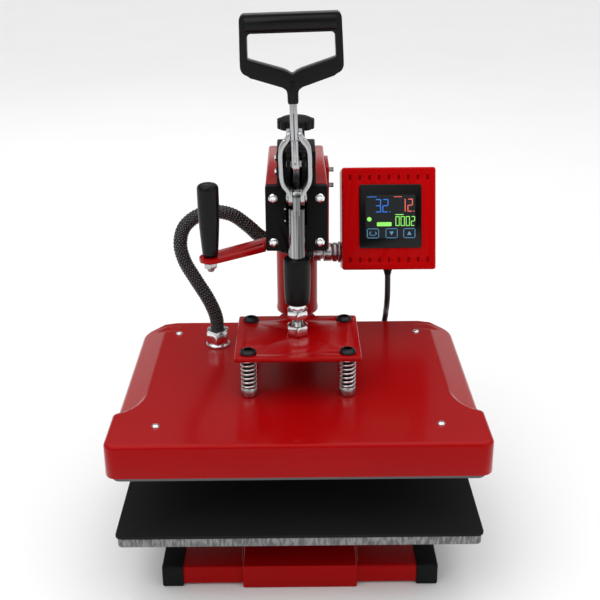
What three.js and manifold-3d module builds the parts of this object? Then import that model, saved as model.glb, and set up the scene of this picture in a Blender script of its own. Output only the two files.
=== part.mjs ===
// Swing-away heat press with a 380 x 300 mm platen, in millimetres, +Z up.
// The head is drawn over the lower platen and raised, with the lever upright and the lead coiled behind.
// The model is drawn with Y = 0 at the middle of the platen, then moved so that the origin is
// under the middle of the machine, on the surface that it stands on.
import * as THREE from "three";
import { mergeVertices } from "three/addons/utils/BufferGeometryUtils.js";
import Module from "manifold-3d";

const wasm = await Module();
wasm.setup();

// ---------------------------------------------------------------- driving dimensions
const GAP = 0.3; // between pieces that touch or run in one another
const BIG = 400; // longer than any cut needs to be

const PLATEN_WIDTH = 380;
const PLATEN_DEPTH = 300;
const PAD_TOP = 93;
const STROKE = 68;

const HEAD = { width: 386, front: -160, rear: 150, bottom: 167, top: 204, wall: 3 };
const HEAT_PLATEN = { bottom: 162, thick: 18 };
const FACET = { edge: 162, drop: 16, front: -27, bowFront: -84, bow: 4 };

const SWING_Y = 180; // the vertical axis that the arm turns about
const SLEEVE = { radius: 25.5, rim: 27.5, bottom: 208 };
const COLUMN = { radius: 25, flange: 28, top: 196 };
const SHAFT_RADIUS = 12;

const ARM = { half: 33.5, front: 30, rear: 205, bottom: 342, top: 415, wall: 4 };
const GUIDE_FRONT = 20; // front face of the guide plate
const PIVOT = { z: 409, eye: 9.5, hole: 4 }; // the lever's pin through the push rod
const ANCHOR = { z: 444, eye: 8.5, cheek: 10 }; // the fixed pivot in the adjuster's nose
const EAR = { reach: 43, tilt: -10, radius: 8.4 }; // the lever's second eye, behind its pin
const LEAN = -1.4; // degrees that the lever leans to the operator's left

const CROSSBAR = { half: 147.3, depth: 41, bottom: 2, top: 24.4, wall: 3, frontY: -88.5, rearY: 180 };
const BOOT = { half: 150, inner: 127, depth: 45, height: 26 };
const BEAM = { half: 62, front: -114, rear: 205, bottom: 0.8, top: 28.5, wall: 2.5 };

const BRIDGE = { width: 134, front: -64, rear: 51, bottom: 248, top: 253 };
const BOLT = { x: 52.8, y: 44, radius: 4.9, head: 8.75 };
const SPRING = { radius: 7.4, wire: 1.4, turns: 6.5, bottom: 214.3, top: 247.7 };

const BOX = { left: 54, right: 165.5, front: 130, rear: 190, bottom: 282.8, top: 404.3, wall: 1.5 };
const TILT = { y: 130, z: 342.5, angle: THREE.MathUtils.degToRad(18) }; // the control box leans back
const SCREEN = { left: 74.5, right: 148.5, bottom: 308.5, top: 384, proud: 1.2 };
const NIPPLE = { y: 145, z: 297 }; // the wiring's way from the arm into the control box
const VENT = { upper: 392.3, lower: 294.5, slots: 9, pitch: 11.5 };
const GRIP = { x: -92, y: -6, bottom: 346.6, top: 426 };
const KNOB = { y: 62, rim: 468.5 };

const HEAD_GLAND = { x: -95, y: 80 };
const LEAD = { radius: 3.5, x: 112, y: 175 }; // and where it leaves the control box, before the box leans
const COIL = { x: 52, y: 270, inner: 31.7, outer: 46.3, height: 14.3 };

const MIDDLE_Y = (HEAD.front + SWING_Y + COLUMN.flange) / 2;
const BRIDGE_MIDDLE = (BRIDGE.front + BRIDGE.rear) / 2;
const EAR_ANGLE = THREE.MathUtils.degToRad(EAR.tilt);
const EAR_Y = EAR.reach * Math.cos(EAR_ANGLE);
const EAR_Z = PIVOT.z + EAR.reach * Math.sin(EAR_ANGLE);

// ---------------------------------------------------------------- materials
const paint = (color, roughness, metalness = 0) =>
  new THREE.MeshStandardMaterial({ color, roughness, metalness });

const FINISH = {
  red: paint(0xb00d12, 0.25),
  darkRed: paint(0x960406, 0.35),
  blackPlastic: paint(0x121212, 0.4),
  blackPaint: paint(0x0d0d0e, 0.45),
  rubber: paint(0x161818, 0.8),
  chrome: paint(0xd6d8da, 0.12, 1),
  zinc: paint(0xb4b7ba, 0.35, 1),
  aluminium: paint(0x9a9c9e, 0.45, 1),
  glass: paint(0x050607, 0.05),
  board: paint(0x1f5a34, 0.6),
};

// ---------------------------------------------------------------- shapes and solids
/** A geometry as a manifold solid: positions only, shared vertices merged. */
function solid(geometry) {
  const bare = geometry.index ? geometry.toNonIndexed() : geometry.clone();
  bare.deleteAttribute("normal");
  bare.deleteAttribute("uv");
  const merged = mergeVertices(bare, 1e-4);
  return new wasm.Manifold(
    new wasm.Mesh({
      numProp: 3,
      vertProperties: merged.attributes.position.array,
      triVerts: new Uint32Array(merged.index.array),
    }),
  );
}

/** A manifold solid as a geometry again. */
function geometryOf(made) {
  const mesh = made.getMesh();
  const geometry = new THREE.BufferGeometry();
  geometry.setAttribute("position", new THREE.BufferAttribute(new Float32Array(mesh.vertProperties), 3));
  geometry.setIndex(new THREE.BufferAttribute(new Uint32Array(mesh.triVerts), 1));
  const flat = geometry.toNonIndexed();
  flat.computeVertexNormals();
  return flat;
}

const join = (...solids) => solids.reduce((all, next) => all.add(next));
const cut = (body, ...tools) => tools.reduce((left, tool) => left.subtract(tool), body);

/** A block between two corners. */
function block(x0, x1, y0, y1, z0, z1) {
  const geometry = new THREE.BoxGeometry(x1 - x0, y1 - y0, z1 - z0);
  geometry.translate((x0 + x1) / 2, (y0 + y1) / 2, (z0 + z1) / 2);
  return solid(geometry);
}

/** A flat outline raised from z0 to z1, with its edges eased by edge in a number of steps. */
function raise(outline, z0, z1, edge = 0, curveSegments = 3, edgeSteps = 1) {
  const geometry = new THREE.ExtrudeGeometry(outline, {
    depth: z1 - z0 - 2 * edge,
    bevelEnabled: edge > 0,
    bevelThickness: edge,
    bevelSize: edge,
    bevelOffset: -edge,
    bevelSegments: edgeSteps,
    curveSegments,
  });
  geometry.translate(0, 0, z0 + edge);
  return geometry;
}

/** An outline in X and Z, extruded from y0 to y1. */
function alongY(outline, y0, y1, edge = 0, curveSegments = 3, edgeSteps = 1) {
  const geometry = raise(outline, -y1, -y0, edge, curveSegments, edgeSteps);
  geometry.rotateX(Math.PI / 2);
  return solid(geometry);
}

/** An outline in Y and Z, extruded from x0 to x1. */
function alongX(outline, x0, x1, edge = 0, curveSegments = 3, edgeSteps = 1) {
  const geometry = raise(outline, x0, x1, edge, curveSegments, edgeSteps);
  geometry.applyMatrix4(new THREE.Matrix4().set(0, 0, 1, 0, 1, 0, 0, 0, 0, 1, 0, 0, 0, 0, 0, 1));
  return solid(geometry);
}

const alongZ = (outline, z0, z1, edge = 0, curveSegments = 3, edgeSteps = 1) =>
  solid(raise(outline, z0, z1, edge, curveSegments, edgeSteps));

/** A rectangle between two corners, with round corners. */
function roundedRectangle(u0, u1, v0, v1, radius, shape = new THREE.Shape()) {
  shape.moveTo(u0 + radius, v0);
  shape.lineTo(u1 - radius, v0);
  shape.absarc(u1 - radius, v0 + radius, radius, -Math.PI / 2, 0, false);
  shape.lineTo(u1, v1 - radius);
  shape.absarc(u1 - radius, v1 - radius, radius, 0, Math.PI / 2, false);
  shape.lineTo(u0 + radius, v1);
  shape.absarc(u0 + radius, v1 - radius, radius, Math.PI / 2, Math.PI, false);
  shape.lineTo(u0, v0 + radius);
  shape.absarc(u0 + radius, v0 + radius, radius, Math.PI, Math.PI * 1.5, false);
  return shape;
}

/** Straight lines through the points, closed. */
function polygon(...points) {
  return new THREE.Shape(points.map(([u, v]) => new THREE.Vector2(u, v)));
}

/** Two round ends of one radius, joined by straight sides. */
function capsule(u0, v0, u1, v1, radius) {
  const along = Math.atan2(v1 - v0, u1 - u0);
  const shape = new THREE.Shape();
  shape.absarc(u1, v1, radius, along - Math.PI / 2, along + Math.PI / 2, false);
  shape.absarc(u0, v0, radius, along + Math.PI / 2, along + Math.PI * 1.5, false);
  shape.closePath();
  return shape;
}

/** A hexagon that measures across across its flats. */
function hexagon(across, x = 0, y = 0) {
  const corners = Array.from({ length: 6 }, (_, i) => {
    const angle = ((i + 0.5) * Math.PI) / 3;
    const radius = across / Math.sqrt(3);
    return [x + radius * Math.cos(angle), y + radius * Math.sin(angle)];
  });
  return polygon(...corners);
}

/** A profile of [radius, height] points turned about a vertical axis at x, y. */
function turned(profile, x = 0, y = 0, segments = 24) {
  const points = profile.map(([r, h]) => new THREE.Vector2(r, h));
  const area = THREE.ShapeUtils.area(points);
  const geometry = new THREE.LatheGeometry(area > 0 ? points : points.reverse(), segments);
  geometry.rotateX(Math.PI / 2);
  geometry.translate(x, y, 0);
  return solid(geometry);
}

/** A vertical rod. */
function rod(radius, z0, z1, x = 0, y = 0, segments = 24) {
  return turned([[0, z0], [radius, z0], [radius, z1], [0, z1]], x, y, segments);
}

/** A vertical tube, closed on itself. */
function ring(inner, outer, z0, z1, x = 0, y = 0, segments = 24) {
  return turned([[inner, z0], [outer, z0], [outer, z1], [inner, z1], [inner, z0]], x, y, segments);
}

/** A rod that lies along X. */
function rodX(radius, x0, x1, y, z, segments = 24) {
  const geometry = new THREE.CylinderGeometry(radius, radius, x1 - x0, segments);
  geometry.rotateZ(Math.PI / 2);
  geometry.translate((x0 + x1) / 2, y, z);
  return solid(geometry);
}

/** A round section swept along a smooth curve through the points. */
function swept(points, radius, sides, steps) {
  const curve = new THREE.CatmullRomCurve3(
    points.map(([x, y, z]) => new THREE.Vector3(x, y, z)),
    false,
    "centripetal",
  );
  const section = new THREE.Shape();
  for (let i = 0; i < sides; i += 1) {
    const angle = ((i + 0.5) * 2 * Math.PI) / sides;
    const place = [radius * Math.cos(angle), radius * Math.sin(angle)];
    if (i === 0) section.moveTo(...place);
    else section.lineTo(...place);
  }
  return solid(new THREE.ExtrudeGeometry(section, { steps, extrudePath: curve }));
}

/** A named mesh made from a manifold solid. */
function piece(name, made, material) {
  const mesh = new THREE.Mesh(geometryOf(made), material);
  mesh.name = name;
  return mesh;
}

// ---------------------------------------------------------------- base
/** A steel box tube across the machine, with a boot on each end. */
function crossbar(name, middle) {
  const group = new THREE.Group();
  const y0 = middle - CROSSBAR.depth / 2;
  const y1 = middle + CROSSBAR.depth / 2;
  const { half, bottom, top, wall } = CROSSBAR;
  const section = roundedRectangle(y0, y1, bottom, top, 3);
  const inside = new THREE.Path();
  section.holes.push(roundedRectangle(y0 + wall, y1 - wall, bottom + wall, top - wall, 1.5, inside));
  group.add(piece(`${name}_crossbar`, alongX(section, -half, half), FINISH.darkRed));

  const socket = block(BOOT.inner - 1, half + GAP, y0 - GAP, y1 + GAP, bottom - GAP, top + GAP);
  for (const [side, sign] of [["left", -1], ["right", 1]]) {
    const outline = roundedRectangle(middle - BOOT.depth / 2, middle + BOOT.depth / 2, 0, BOOT.height, 3);
    const boot = cut(alongX(outline, BOOT.inner, BOOT.half, 1.2), socket);
    const placed = sign > 0 ? boot : boot.mirror([1, 0, 0]);
    group.add(piece(`${name}_${side}_boot`, placed, FINISH.rubber));
  }
  return group;
}

/** The folded channel that joins the two crossbars and carries the column and the platen. */
function centreBeam() {
  const { half, front, rear, bottom, top, wall } = BEAM;
  const body = alongY(roundedRectangle(-half, half, bottom, top, 2.4), front, rear);
  const hollow = block(-half + wall, half - wall, front + wall, rear - wall, -1, top - wall);
  const notches = [CROSSBAR.frontY, CROSSBAR.rearY].map((y) =>
    block(-BIG, BIG, y - CROSSBAR.depth / 2 - GAP, y + CROSSBAR.depth / 2 + GAP, -1, CROSSBAR.top + GAP),
  );
  return piece("centre_beam", cut(body, hollow, ...notches), FINISH.darkRed);
}

function swingColumn() {
  const foot = BEAM.top + GAP;
  const plate = alongZ(roundedRectangle(-45, 45, 148, 205, 5), foot, foot + 6);
  const tube = turned(
    [
      [SHAFT_RADIUS + GAP, foot],
      [COLUMN.flange, foot],
      [COLUMN.flange, foot + 6],
      [COLUMN.radius, foot + 10],
      [COLUMN.radius, COLUMN.top - 1.5],
      [COLUMN.radius - 1.5, COLUMN.top],
      [SHAFT_RADIUS + GAP, COLUMN.top],
      [SHAFT_RADIUS + GAP, foot],
    ],
    0,
    SWING_Y,
  );
  const bore = rod(SHAFT_RADIUS + GAP, 0, BIG, 0, SWING_Y);
  return piece("swing_column", cut(join(plate, tube), bore), FINISH.red);
}

/** The post under the lower platen: two crossed ribs between a foot and a top plate. */
function platenPedestal(top) {
  const foot = BEAM.top + GAP;
  const made = join(
    block(-55, 55, -55, 55, foot, foot + 5),
    block(-50, 50, -4, 4, foot + 4, top - 4),
    block(-4, 4, -50, 50, foot + 4, top - 4),
    block(-90, 90, -70, 70, top - 5, top),
  );
  return piece("platen_pedestal", made, FINISH.darkRed);
}

function base() {
  const group = new THREE.Group();
  const padThick = 3.7;
  const plateTop = PAD_TOP - padThick - GAP;
  const plateBottom = plateTop - 11;
  const halfWidth = PLATEN_WIDTH / 2;
  const halfDepth = PLATEN_DEPTH / 2;
  const plate = roundedRectangle(2 - halfWidth, halfWidth - 2, 2 - halfDepth, halfDepth - 2, 5);
  const pad = roundedRectangle(-halfWidth, halfWidth, -halfDepth, halfDepth, 7);
  group.add(
    crossbar("front", CROSSBAR.frontY),
    crossbar("rear", CROSSBAR.rearY),
    centreBeam(),
    swingColumn(),
    piece("swing_shaft", rod(SHAFT_RADIUS, 29.2, 332.4, 0, SWING_Y), FINISH.chrome),
    platenPedestal(plateBottom - GAP),
    piece("lower_platen", alongZ(plate, plateBottom, plateTop, 1), FINISH.aluminium),
    piece("silicone_pad", alongZ(pad, PAD_TOP - padThick, PAD_TOP, 0.8), FINISH.rubber),
  );
  return group;
}

// ---------------------------------------------------------------- swing arm
function swingSleeve() {
  const { radius, rim, bottom } = SLEEVE;
  const bore = SHAFT_RADIUS + 0.4;
  const profile = [
    [0, 332.7],
    [bore, 332.7],
    [bore, 316],
    [20, 312],
    [20, 232],
    [bore, 228],
    [bore, bottom],
    [rim - 1, bottom],
    [rim, bottom + 1.5],
    [rim, bottom + 5],
    [radius, bottom + 8],
    [radius, ARM.bottom - GAP],
    [0, ARM.bottom - GAP],
  ];
  return piece("swing_sleeve", turned(profile, 0, SWING_Y), FINISH.red);
}

/** The hollow arm: open at the front, with a slot in its top for the toggle link. */
function armBox() {
  const { half, front, rear, bottom, top, wall } = ARM;
  const outer = alongY(roundedRectangle(-half, half, bottom, top, 3), front + GAP, rear);
  const inside = alongY(
    roundedRectangle(wall - half, half - wall, bottom + wall, top - wall, 2),
    front - 1,
    rear - wall,
  );
  const linkSlot = block(-11, 11, front - 1, front + 23, top - wall - 1, top + 1);
  const screwHole = rod(5.3, top - wall - 1, top + 1, 0, KNOB.y);
  return piece("arm_box", cut(outer, inside, linkSlot, screwHole), FINISH.red);
}

/** The black plate that the push rod's key runs in. */
function guidePlate() {
  const front = GUIDE_FRONT;
  const rear = ARM.front;
  const bottom = ARM.bottom + GAP;
  const top = ARM.top - GAP;
  const plate = alongY(roundedRectangle(-ARM.half, ARM.half, bottom, top, 2), front, rear);
  const tongue = block(-12, 12, front, rear, 300, bottom + 5);
  const groove = block(-5.3, 5.3, front - 1, front + 6.2, 299, 373);
  const slot = block(-11, 11, front - 1, rear + 1, 372, top + 1);
  return piece("guide_plate", cut(join(plate, tongue), groove, slot), FINISH.blackPaint);
}

/** The plate on the arm's right side that carries the control box. */
function boxBracket() {
  const outline = roundedRectangle(116, 174, 309, 411, 5);
  return piece("box_bracket", alongX(outline, ARM.half + GAP, ARM.half + 4.5), FINISH.red);
}

/** The hollow nipple between the arm's gland and the control box, with a nut at each end. */
function boxNipple() {
  const left = ARM.half - 1.3;
  const right = BOX.left - GAP;
  const made = join(
    rodX(8, ARM.half - 2, BOX.left + 10, NIPPLE.y, NIPPLE.z),
    rodX(11.2, left, left + 11, NIPPLE.y, NIPPLE.z, 8),
    rodX(12.6, right - 4.2, right, NIPPLE.y, NIPPLE.z, 12),
  );
  return piece("box_nipple", made, FINISH.zinc);
}

function armGland() {
  const made = join(
    rodX(11, 20.2, 29, NIPPLE.y, NIPPLE.z, 12),
    rodX(8.8, 28, 31.2, NIPPLE.y, NIPPLE.z, 24),
  );
  return piece("arm_gland", made, FINISH.zinc);
}

/** A row of upright slots across the control box's front, at a height z. */
function ventSlots(z) {
  return Array.from({ length: VENT.slots }, (_, i) => {
    const x = (BOX.left + BOX.right) / 2 + (i - (VENT.slots - 1) / 2) * VENT.pitch;
    return alongY(capsule(x, z - 1.8, x, z + 1.8, 1.4), BOX.front - 1, BOX.front + 4, 0, 2);
  });
}

function controlBox() {
  const group = new THREE.Group();
  const { left, right, front, rear, bottom, top, wall } = BOX;
  const shellRear = rear - 1.5 - GAP;
  const outer = alongY(roundedRectangle(left, right, bottom, top, 3), front, shellRear + 4, 1.5);
  const inner = block(left + wall, right - wall, front + wall, rear + 9, bottom + wall, top - wall);
  const openBack = block(left - 1, right + 1, shellRear, rear + 9, bottom - 1, top + 1);
  const sine = Math.sin(TILT.angle);
  const cosine = Math.cos(TILT.angle);
  const [outY, outZ] = [NIPPLE.y - TILT.y, NIPPLE.z - TILT.z];
  const nippleY = TILT.y + outY * cosine - outZ * sine;
  const nippleZ = TILT.z + outY * sine + outZ * cosine;
  const nippleHole = rodX(8.4, left - 1, left + 3, nippleY, nippleZ);
  const leadHole = rod(4.4, bottom - 1, bottom + 3, LEAD.x, LEAD.y);
  const vents = [...ventSlots(VENT.upper), ...ventSlots(VENT.lower)];
  const shell = cut(outer, inner, openBack, nippleHole, leadHole, ...vents);
  group.add(piece("control_box", shell, FINISH.red));

  const backOutline = roundedRectangle(left + 0.5, right - 0.5, bottom + 0.5, top - 0.5, 3);
  const plate = alongY(backOutline, rear - 1.5, rear);
  const lip = cut(
    block(left + 2.2, right - 2.2, rear - 8, rear - 1, bottom + 2.2, top - 2.2),
    block(left + 3.7, right - 3.7, rear - 9, rear - 1.5, bottom + 3.7, top - 3.7),
  );
  const switchHole = block(75.5, 94.5, rear - 3, rear + 1, 354.5, 383.5);
  group.add(piece("control_box_back", cut(join(plate, lip), switchHole), FINISH.red));

  const screen = alongY(
    roundedRectangle(SCREEN.left, SCREEN.right, SCREEN.bottom, SCREEN.top, 3),
    front - SCREEN.proud - GAP,
    front - GAP,
  );
  group.add(piece("display_panel", screen, FINISH.glass));

  const board = join(
    block(68, 155, 150, 151.6, 300, 392),
    block(76, 100, 151, 166, 308, 330),
    block(112, 126, 151, 163, 345, 372),
    block(134, 148, 151, 160, 310, 322),
  );
  group.add(piece("control_board", board, FINISH.board));
  group.add(powerSwitch(rear));
  const leadGland = turned(
    [
      [0, bottom - 8],
      [4, bottom - 8],
      [5.6, bottom - 2],
      [5.6, bottom - GAP],
      [0, bottom - GAP],
    ],
    LEAD.x,
    LEAD.y,
    16,
  );
  group.add(piece("lead_gland", leadGland, FINISH.blackPlastic));

  const leaning = new THREE.Group();
  leaning.position.set(0, TILT.y, TILT.z);
  leaning.rotation.x = -TILT.angle;
  group.position.set(0, -TILT.y, -TILT.z);
  leaning.add(group);
  return leaning;
}

/** The rocker switch in the control box's back. */
function powerSwitch(rear) {
  const group = new THREE.Group();
  const frame = join(
    block(73, 97, rear + GAP, rear + 2, 352, 386),
    block(75.8, 94.2, rear - 14, rear + 1, 354.8, 383.2),
  );
  const well = block(77.3, 92.7, rear - 8, rear + 3, 356.3, 381.7);
  group.add(piece("switch_housing", cut(frame, well), FINISH.blackPlastic));
  const rocker = alongX(
    polygon(
      [rear - 5, 357.6],
      [rear + 1.2, 357.6],
      [rear + 2.4, 363],
      [rear + 2.6, 369],
      [rear + 3.6, 380.4],
      [rear - 5, 380.4],
    ),
    77.7,
    92.3,
  );
  group.add(piece("power_rocker", rocker, FINISH.blackPlastic));
  return group;
}

/** The forked bar that the swing grip stands on. */
function gripBar() {
  const z0 = 341;
  const z1 = z0 + 5;
  const inner = -ARM.half - GAP;
  const outline = new THREE.Shape();
  outline.moveTo(inner, 22);
  outline.lineTo(inner, 58);
  outline.lineTo(GRIP.x - 6, GRIP.y + 10.4);
  outline.absarc(GRIP.x, GRIP.y, 12, Math.PI * 0.667, Math.PI * 1.72, false);
  outline.closePath();
  const window = new THREE.Path();
  window.moveTo(inner - 3.5, 29);
  window.lineTo(-64, 11);
  window.lineTo(inner - 3.5, 36);
  window.closePath();
  outline.holes.push(window);
  const hole = rod(4.4, z0 - 1, z1 + 1, GRIP.x, GRIP.y, 16);
  return piece("grip_bar", cut(alongZ(outline, z0, z1), hole), FINISH.red);
}

/** The bolt that the swing grip turns on, with its nut below the bar. */
function gripBolt() {
  const made = join(
    rod(4, 329.5, 414, GRIP.x, GRIP.y, 16),
    alongZ(hexagon(13, GRIP.x, GRIP.y), 333.5, 340.7),
  );
  return piece("grip_bolt", made, FINISH.zinc);
}

function swingGrip() {
  const { x, y, bottom, top } = GRIP;
  const profile = [
    [0, 418],
    [4.4, 418],
    [4.4, bottom],
    [7.6, bottom],
    [8.4, bottom + 3],
    [10.2, bottom + 27],
    [11.35, bottom + 55],
    [11.35, top - 5],
    [10.2, top - 1.4],
    [7, top],
    [0, top],
  ];
  return piece("swing_grip", turned(profile, x, y, 24), FINISH.blackPlastic);
}

/** The route of the flexible conduit from the head's gland to the gland on the arm. */
const CONDUIT_ROUTE = [
  [-95, 80, 225.5],
  [-96, 80, 240],
  [-104, 80, 262],
  [-118, 81, 287],
  [-130, 82, 310],
  [-134, 83, 330],
  [-129, 85, 349],
  [-114, 87, 362],
  [-94, 89, 366.5],
  [-74, 91, 362],
  [-56, 93, 348],
  [-42, 98, 330],
  [-26, 110, 315],
  [-10, 127, 304],
  [4, 140, 298.5],
  [11, 144.7, 297.1],
  [19.4, 145, 297],
];

function swingArm() {
  const group = new THREE.Group();
  group.add(
    swingSleeve(),
    armBox(),
    guidePlate(),
    boxBracket(),
    boxNipple(),
    armGland(),
    controlBox(),
    gripBar(),
    gripBolt(),
    swingGrip(),
    piece("conduit", swept(CONDUIT_ROUTE, 8, 8, 40), FINISH.blackPlastic),
  );
  return group;
}

// ---------------------------------------------------------------- pressure adjuster
function adjuster() {
  const group = new THREE.Group();
  const bottom = ARM.top + GAP;
  const top = ANCHOR.z + 9.5;
  const body = alongX(roundedRectangle(15, 75, bottom, top, 2), -20.5, 20.5, 1);
  const nose = alongX(capsule(0, ANCHOR.z, 25, ANCHOR.z, ANCHOR.eye), -ANCHOR.cheek, ANCHOR.cheek, 0, 7);
  const linkSlot = block(-6, 6, -20, 43.5, bottom - 1, 443);
  const mouth = block(-6, 6, -20, 15, bottom - 1, top + 1);
  const pinHole = rodX(PIVOT.hole, -BIG, BIG, 0, ANCHOR.z);
  const screwHole = rod(5.3, bottom - 1, top + 1, 0, KNOB.y);
  const cast = cut(join(body, nose), linkSlot, mouth, pinHole, screwHole);
  group.add(piece("adjuster_block", cast, FINISH.blackPaint));
  group.add(piece("anchor_pin", rodX(PIVOT.hole - GAP, -10.5, 10.5, 0, ANCHOR.z), FINISH.zinc));

  const blade = alongX(capsule(0, ANCHOR.z, EAR_Y, EAR_Z, ANCHOR.eye - 0.3), -3.4, 3.4, 0, 7);
  const openEye = rodX(PIVOT.hole + 1, -BIG, BIG, EAR_Y, EAR_Z);
  group.add(piece("toggle_link", cut(blade, pinHole, openEye), FINISH.zinc));

  group.add(piece("pressure_knob", knob(KNOB.rim), FINISH.blackPlastic));
  const screw = join(
    rod(4.9, 403, 470, 0, KNOB.y, 20),
    alongZ(hexagon(16, 0, KNOB.y), top + GAP, top + 4.5),
  );
  group.add(piece("knob_screw", screw, FINISH.zinc));
  return group;
}

/** A fluted knob on a hub; rim is the height of the rim's underside. */
function knob(rim) {
  const hub = turned([[0, rim - 10], [9.8, rim - 10], [9.8, rim + 1], [0, rim + 1]], 0, KNOB.y, 24);
  const head = turned(
    [
      [0, rim],
      [19, rim],
      [20.5, rim + 1.5],
      [20.5, rim + 9],
      [18.5, rim + 10.5],
      [10, rim + 12.8],
      [0, rim + 13.5],
    ],
    0,
    KNOB.y,
    24,
  );
  const flutes = Array.from({ length: 12 }, (_, i) => {
    const angle = (i * Math.PI) / 6;
    return rod(2.4, rim - 1, rim + 20, 21.7 * Math.cos(angle), KNOB.y + 21.7 * Math.sin(angle), 6);
  });
  return cut(join(hub, head), ...flutes, rod(5.2, rim - 11, 470.3, 0, KNOB.y, 20));
}

// ---------------------------------------------------------------- carriage
function carriage() {
  const group = new THREE.Group();
  const stud = turned(
    [
      [0, 243],
      [5.9, 243],
      [5.9, 289],
      [8.75, 289],
      [8.75, 396],
      [8, 396.8],
      [0, 396.8],
    ],
  );
  const tongue = alongX(capsule(0, 392, 0, PIVOT.z, 8.6), -3.65, 3.65, 0, 8);
  const rodSolid = cut(join(stud, tongue), rodX(PIVOT.hole, -BIG, BIG, 0, PIVOT.z));
  group.add(piece("push_rod", rodSolid, FINISH.chrome));

  const sleeve = turned([
    [9.05, 289.3],
    [11.6, 289.3],
    [12.6, 292],
    [14.5, 315],
    [14.5, 327],
    [13.8, 334],
    [13.2, 340.5],
    [9.05, 341],
    [9.05, 289.3],
  ]);
  group.add(piece("rod_sleeve", sleeve, FINISH.blackPlastic));
  group.add(piece("rod_collar", ring(6.2, 9, 282.3, 288.7), FINISH.chrome));
  const hole = rod(6.2, 0, BIG, 0, 0);
  group.add(piece("upper_nut", cut(alongZ(hexagon(18.5), 273, 282), hole), FINISH.zinc));
  group.add(piece("lower_nut", cut(alongZ(hexagon(18.5), BRIDGE.top + GAP, 264), hole), FINISH.zinc));
  group.add(piece("guide_key", block(-5, 5, 9.05, GUIDE_FRONT + 5.8, 345, 390), FINISH.zinc));

  const plate = alongZ(
    roundedRectangle(-BRIDGE.width / 2, BRIDGE.width / 2, BRIDGE.front, BRIDGE.rear, 3),
    BRIDGE.bottom,
    BRIDGE.top,
    0.8,
  );
  const boltHoles = boltPlaces().map(([x, y]) => rod(BOLT.radius + 0.5, 200, 300, x, y, 16));
  group.add(piece("bridge_plate", cut(plate, hole, ...boltHoles), FINISH.red));
  return group;
}

/** The four places of the spring bolts: front left, front right, rear left, rear right. */
function boltPlaces() {
  return [-1, 1].flatMap((back) => [-1, 1].map((side) => [side * BOLT.x, BRIDGE_MIDDLE + back * BOLT.y]));
}

// ---------------------------------------------------------------- heating head
/** The outline of the head's cover from above. */
function headOutline(inset) {
  const half = HEAD.width / 2 - inset;
  return roundedRectangle(-half, half, HEAD.front + inset, HEAD.rear - inset, 12 - inset);
}

/** The part of the cover that the sloped side facets take off. */
function facetCut(sign) {
  const half = HEAD.width / 2;
  const slope = new THREE.Shape();
  slope.moveTo(sign * FACET.edge, HEAD.top);
  slope.lineTo(sign * (half + 6), HEAD.top - FACET.drop * (half + 6 - FACET.edge) / (half - FACET.edge));
  slope.lineTo(sign * (half + 6), HEAD.top + 6);
  slope.lineTo(sign * FACET.edge, HEAD.top + 6);
  slope.closePath();
  const wedge = alongY(slope, FACET.bowFront, HEAD.rear + 1);
  const plan = new THREE.Shape();
  plan.moveTo(sign * (FACET.edge - 1), HEAD.rear + 2);
  plan.lineTo(sign * (FACET.edge - 1), FACET.front);
  plan.quadraticCurveTo(sign * FACET.edge, FACET.front - 45, sign * (half - FACET.bow), FACET.bowFront);
  plan.lineTo(sign * (half + 8), FACET.bowFront);
  plan.lineTo(sign * (half + 8), HEAD.rear + 2);
  plan.closePath();
  return wedge.intersect(alongZ(plan, HEAD.bottom, HEAD.top + 10));
}

function headCover() {
  const { bottom, top, wall, rear, front } = HEAD;
  const outer = alongZ(headOutline(0), bottom, top, 4, 5, 3);
  const lowHollow = alongZ(headOutline(wall), bottom - 1, top - FACET.drop - wall - 1, 0, 4);
  const highHollow = block(4 - FACET.edge, FACET.edge - 4, front + 8, rear - 8, top - 30, top - wall);
  const holes = [
    ...boltPlaces().map(([x, y]) => rod(BOLT.radius + 0.5, top - 10, top + 5, x, y, 16)),
    rod(7.4, top - 10, top + 5, HEAD_GLAND.x, HEAD_GLAND.y, 20),
  ];
  const shell = cut(outer, facetCut(-1), facetCut(1), lowHollow, highHollow, ...holes);
  return piece("head_cover", shell, FINISH.red);
}

/** A spring bolt: a button head, a shank, and the collar that its spring stands on. */
function springBolt(x, y) {
  const head = BRIDGE.top + GAP;
  const { radius, head: wide } = BOLT;
  return turned(
    [
      [0, 186],
      [radius, 186],
      [radius, HEAD.top + GAP],
      [9, HEAD.top + GAP],
      [9, SPRING.bottom - 1.8],
      [8, SPRING.bottom - GAP],
      [radius, SPRING.bottom - GAP],
      [radius, head],
      [wide, head],
      [wide, head + 1.6],
      [wide - 2.6, head + 4.4],
      [3.2, head + 5],
      [3.2, head + 2.6],
      [0, head + 2.6],
    ],
    x,
    y,
    14,
  );
}

/** A round wire wound between the collar and the bridge plate. */
function spring(x, y) {
  const stepsPerTurn = 9;
  const steps = Math.round(SPRING.turns * stepsPerTurn);
  const low = SPRING.bottom + SPRING.wire;
  const high = SPRING.top - SPRING.wire;
  const points = Array.from({ length: steps + 1 }, (_, i) => {
    const angle = (2 * Math.PI * i) / stepsPerTurn;
    const z = low + ((high - low) * i) / steps;
    return [x + SPRING.radius * Math.cos(angle), y + SPRING.radius * Math.sin(angle), z];
  });
  return swept(points, SPRING.wire, 5, steps);
}

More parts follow.
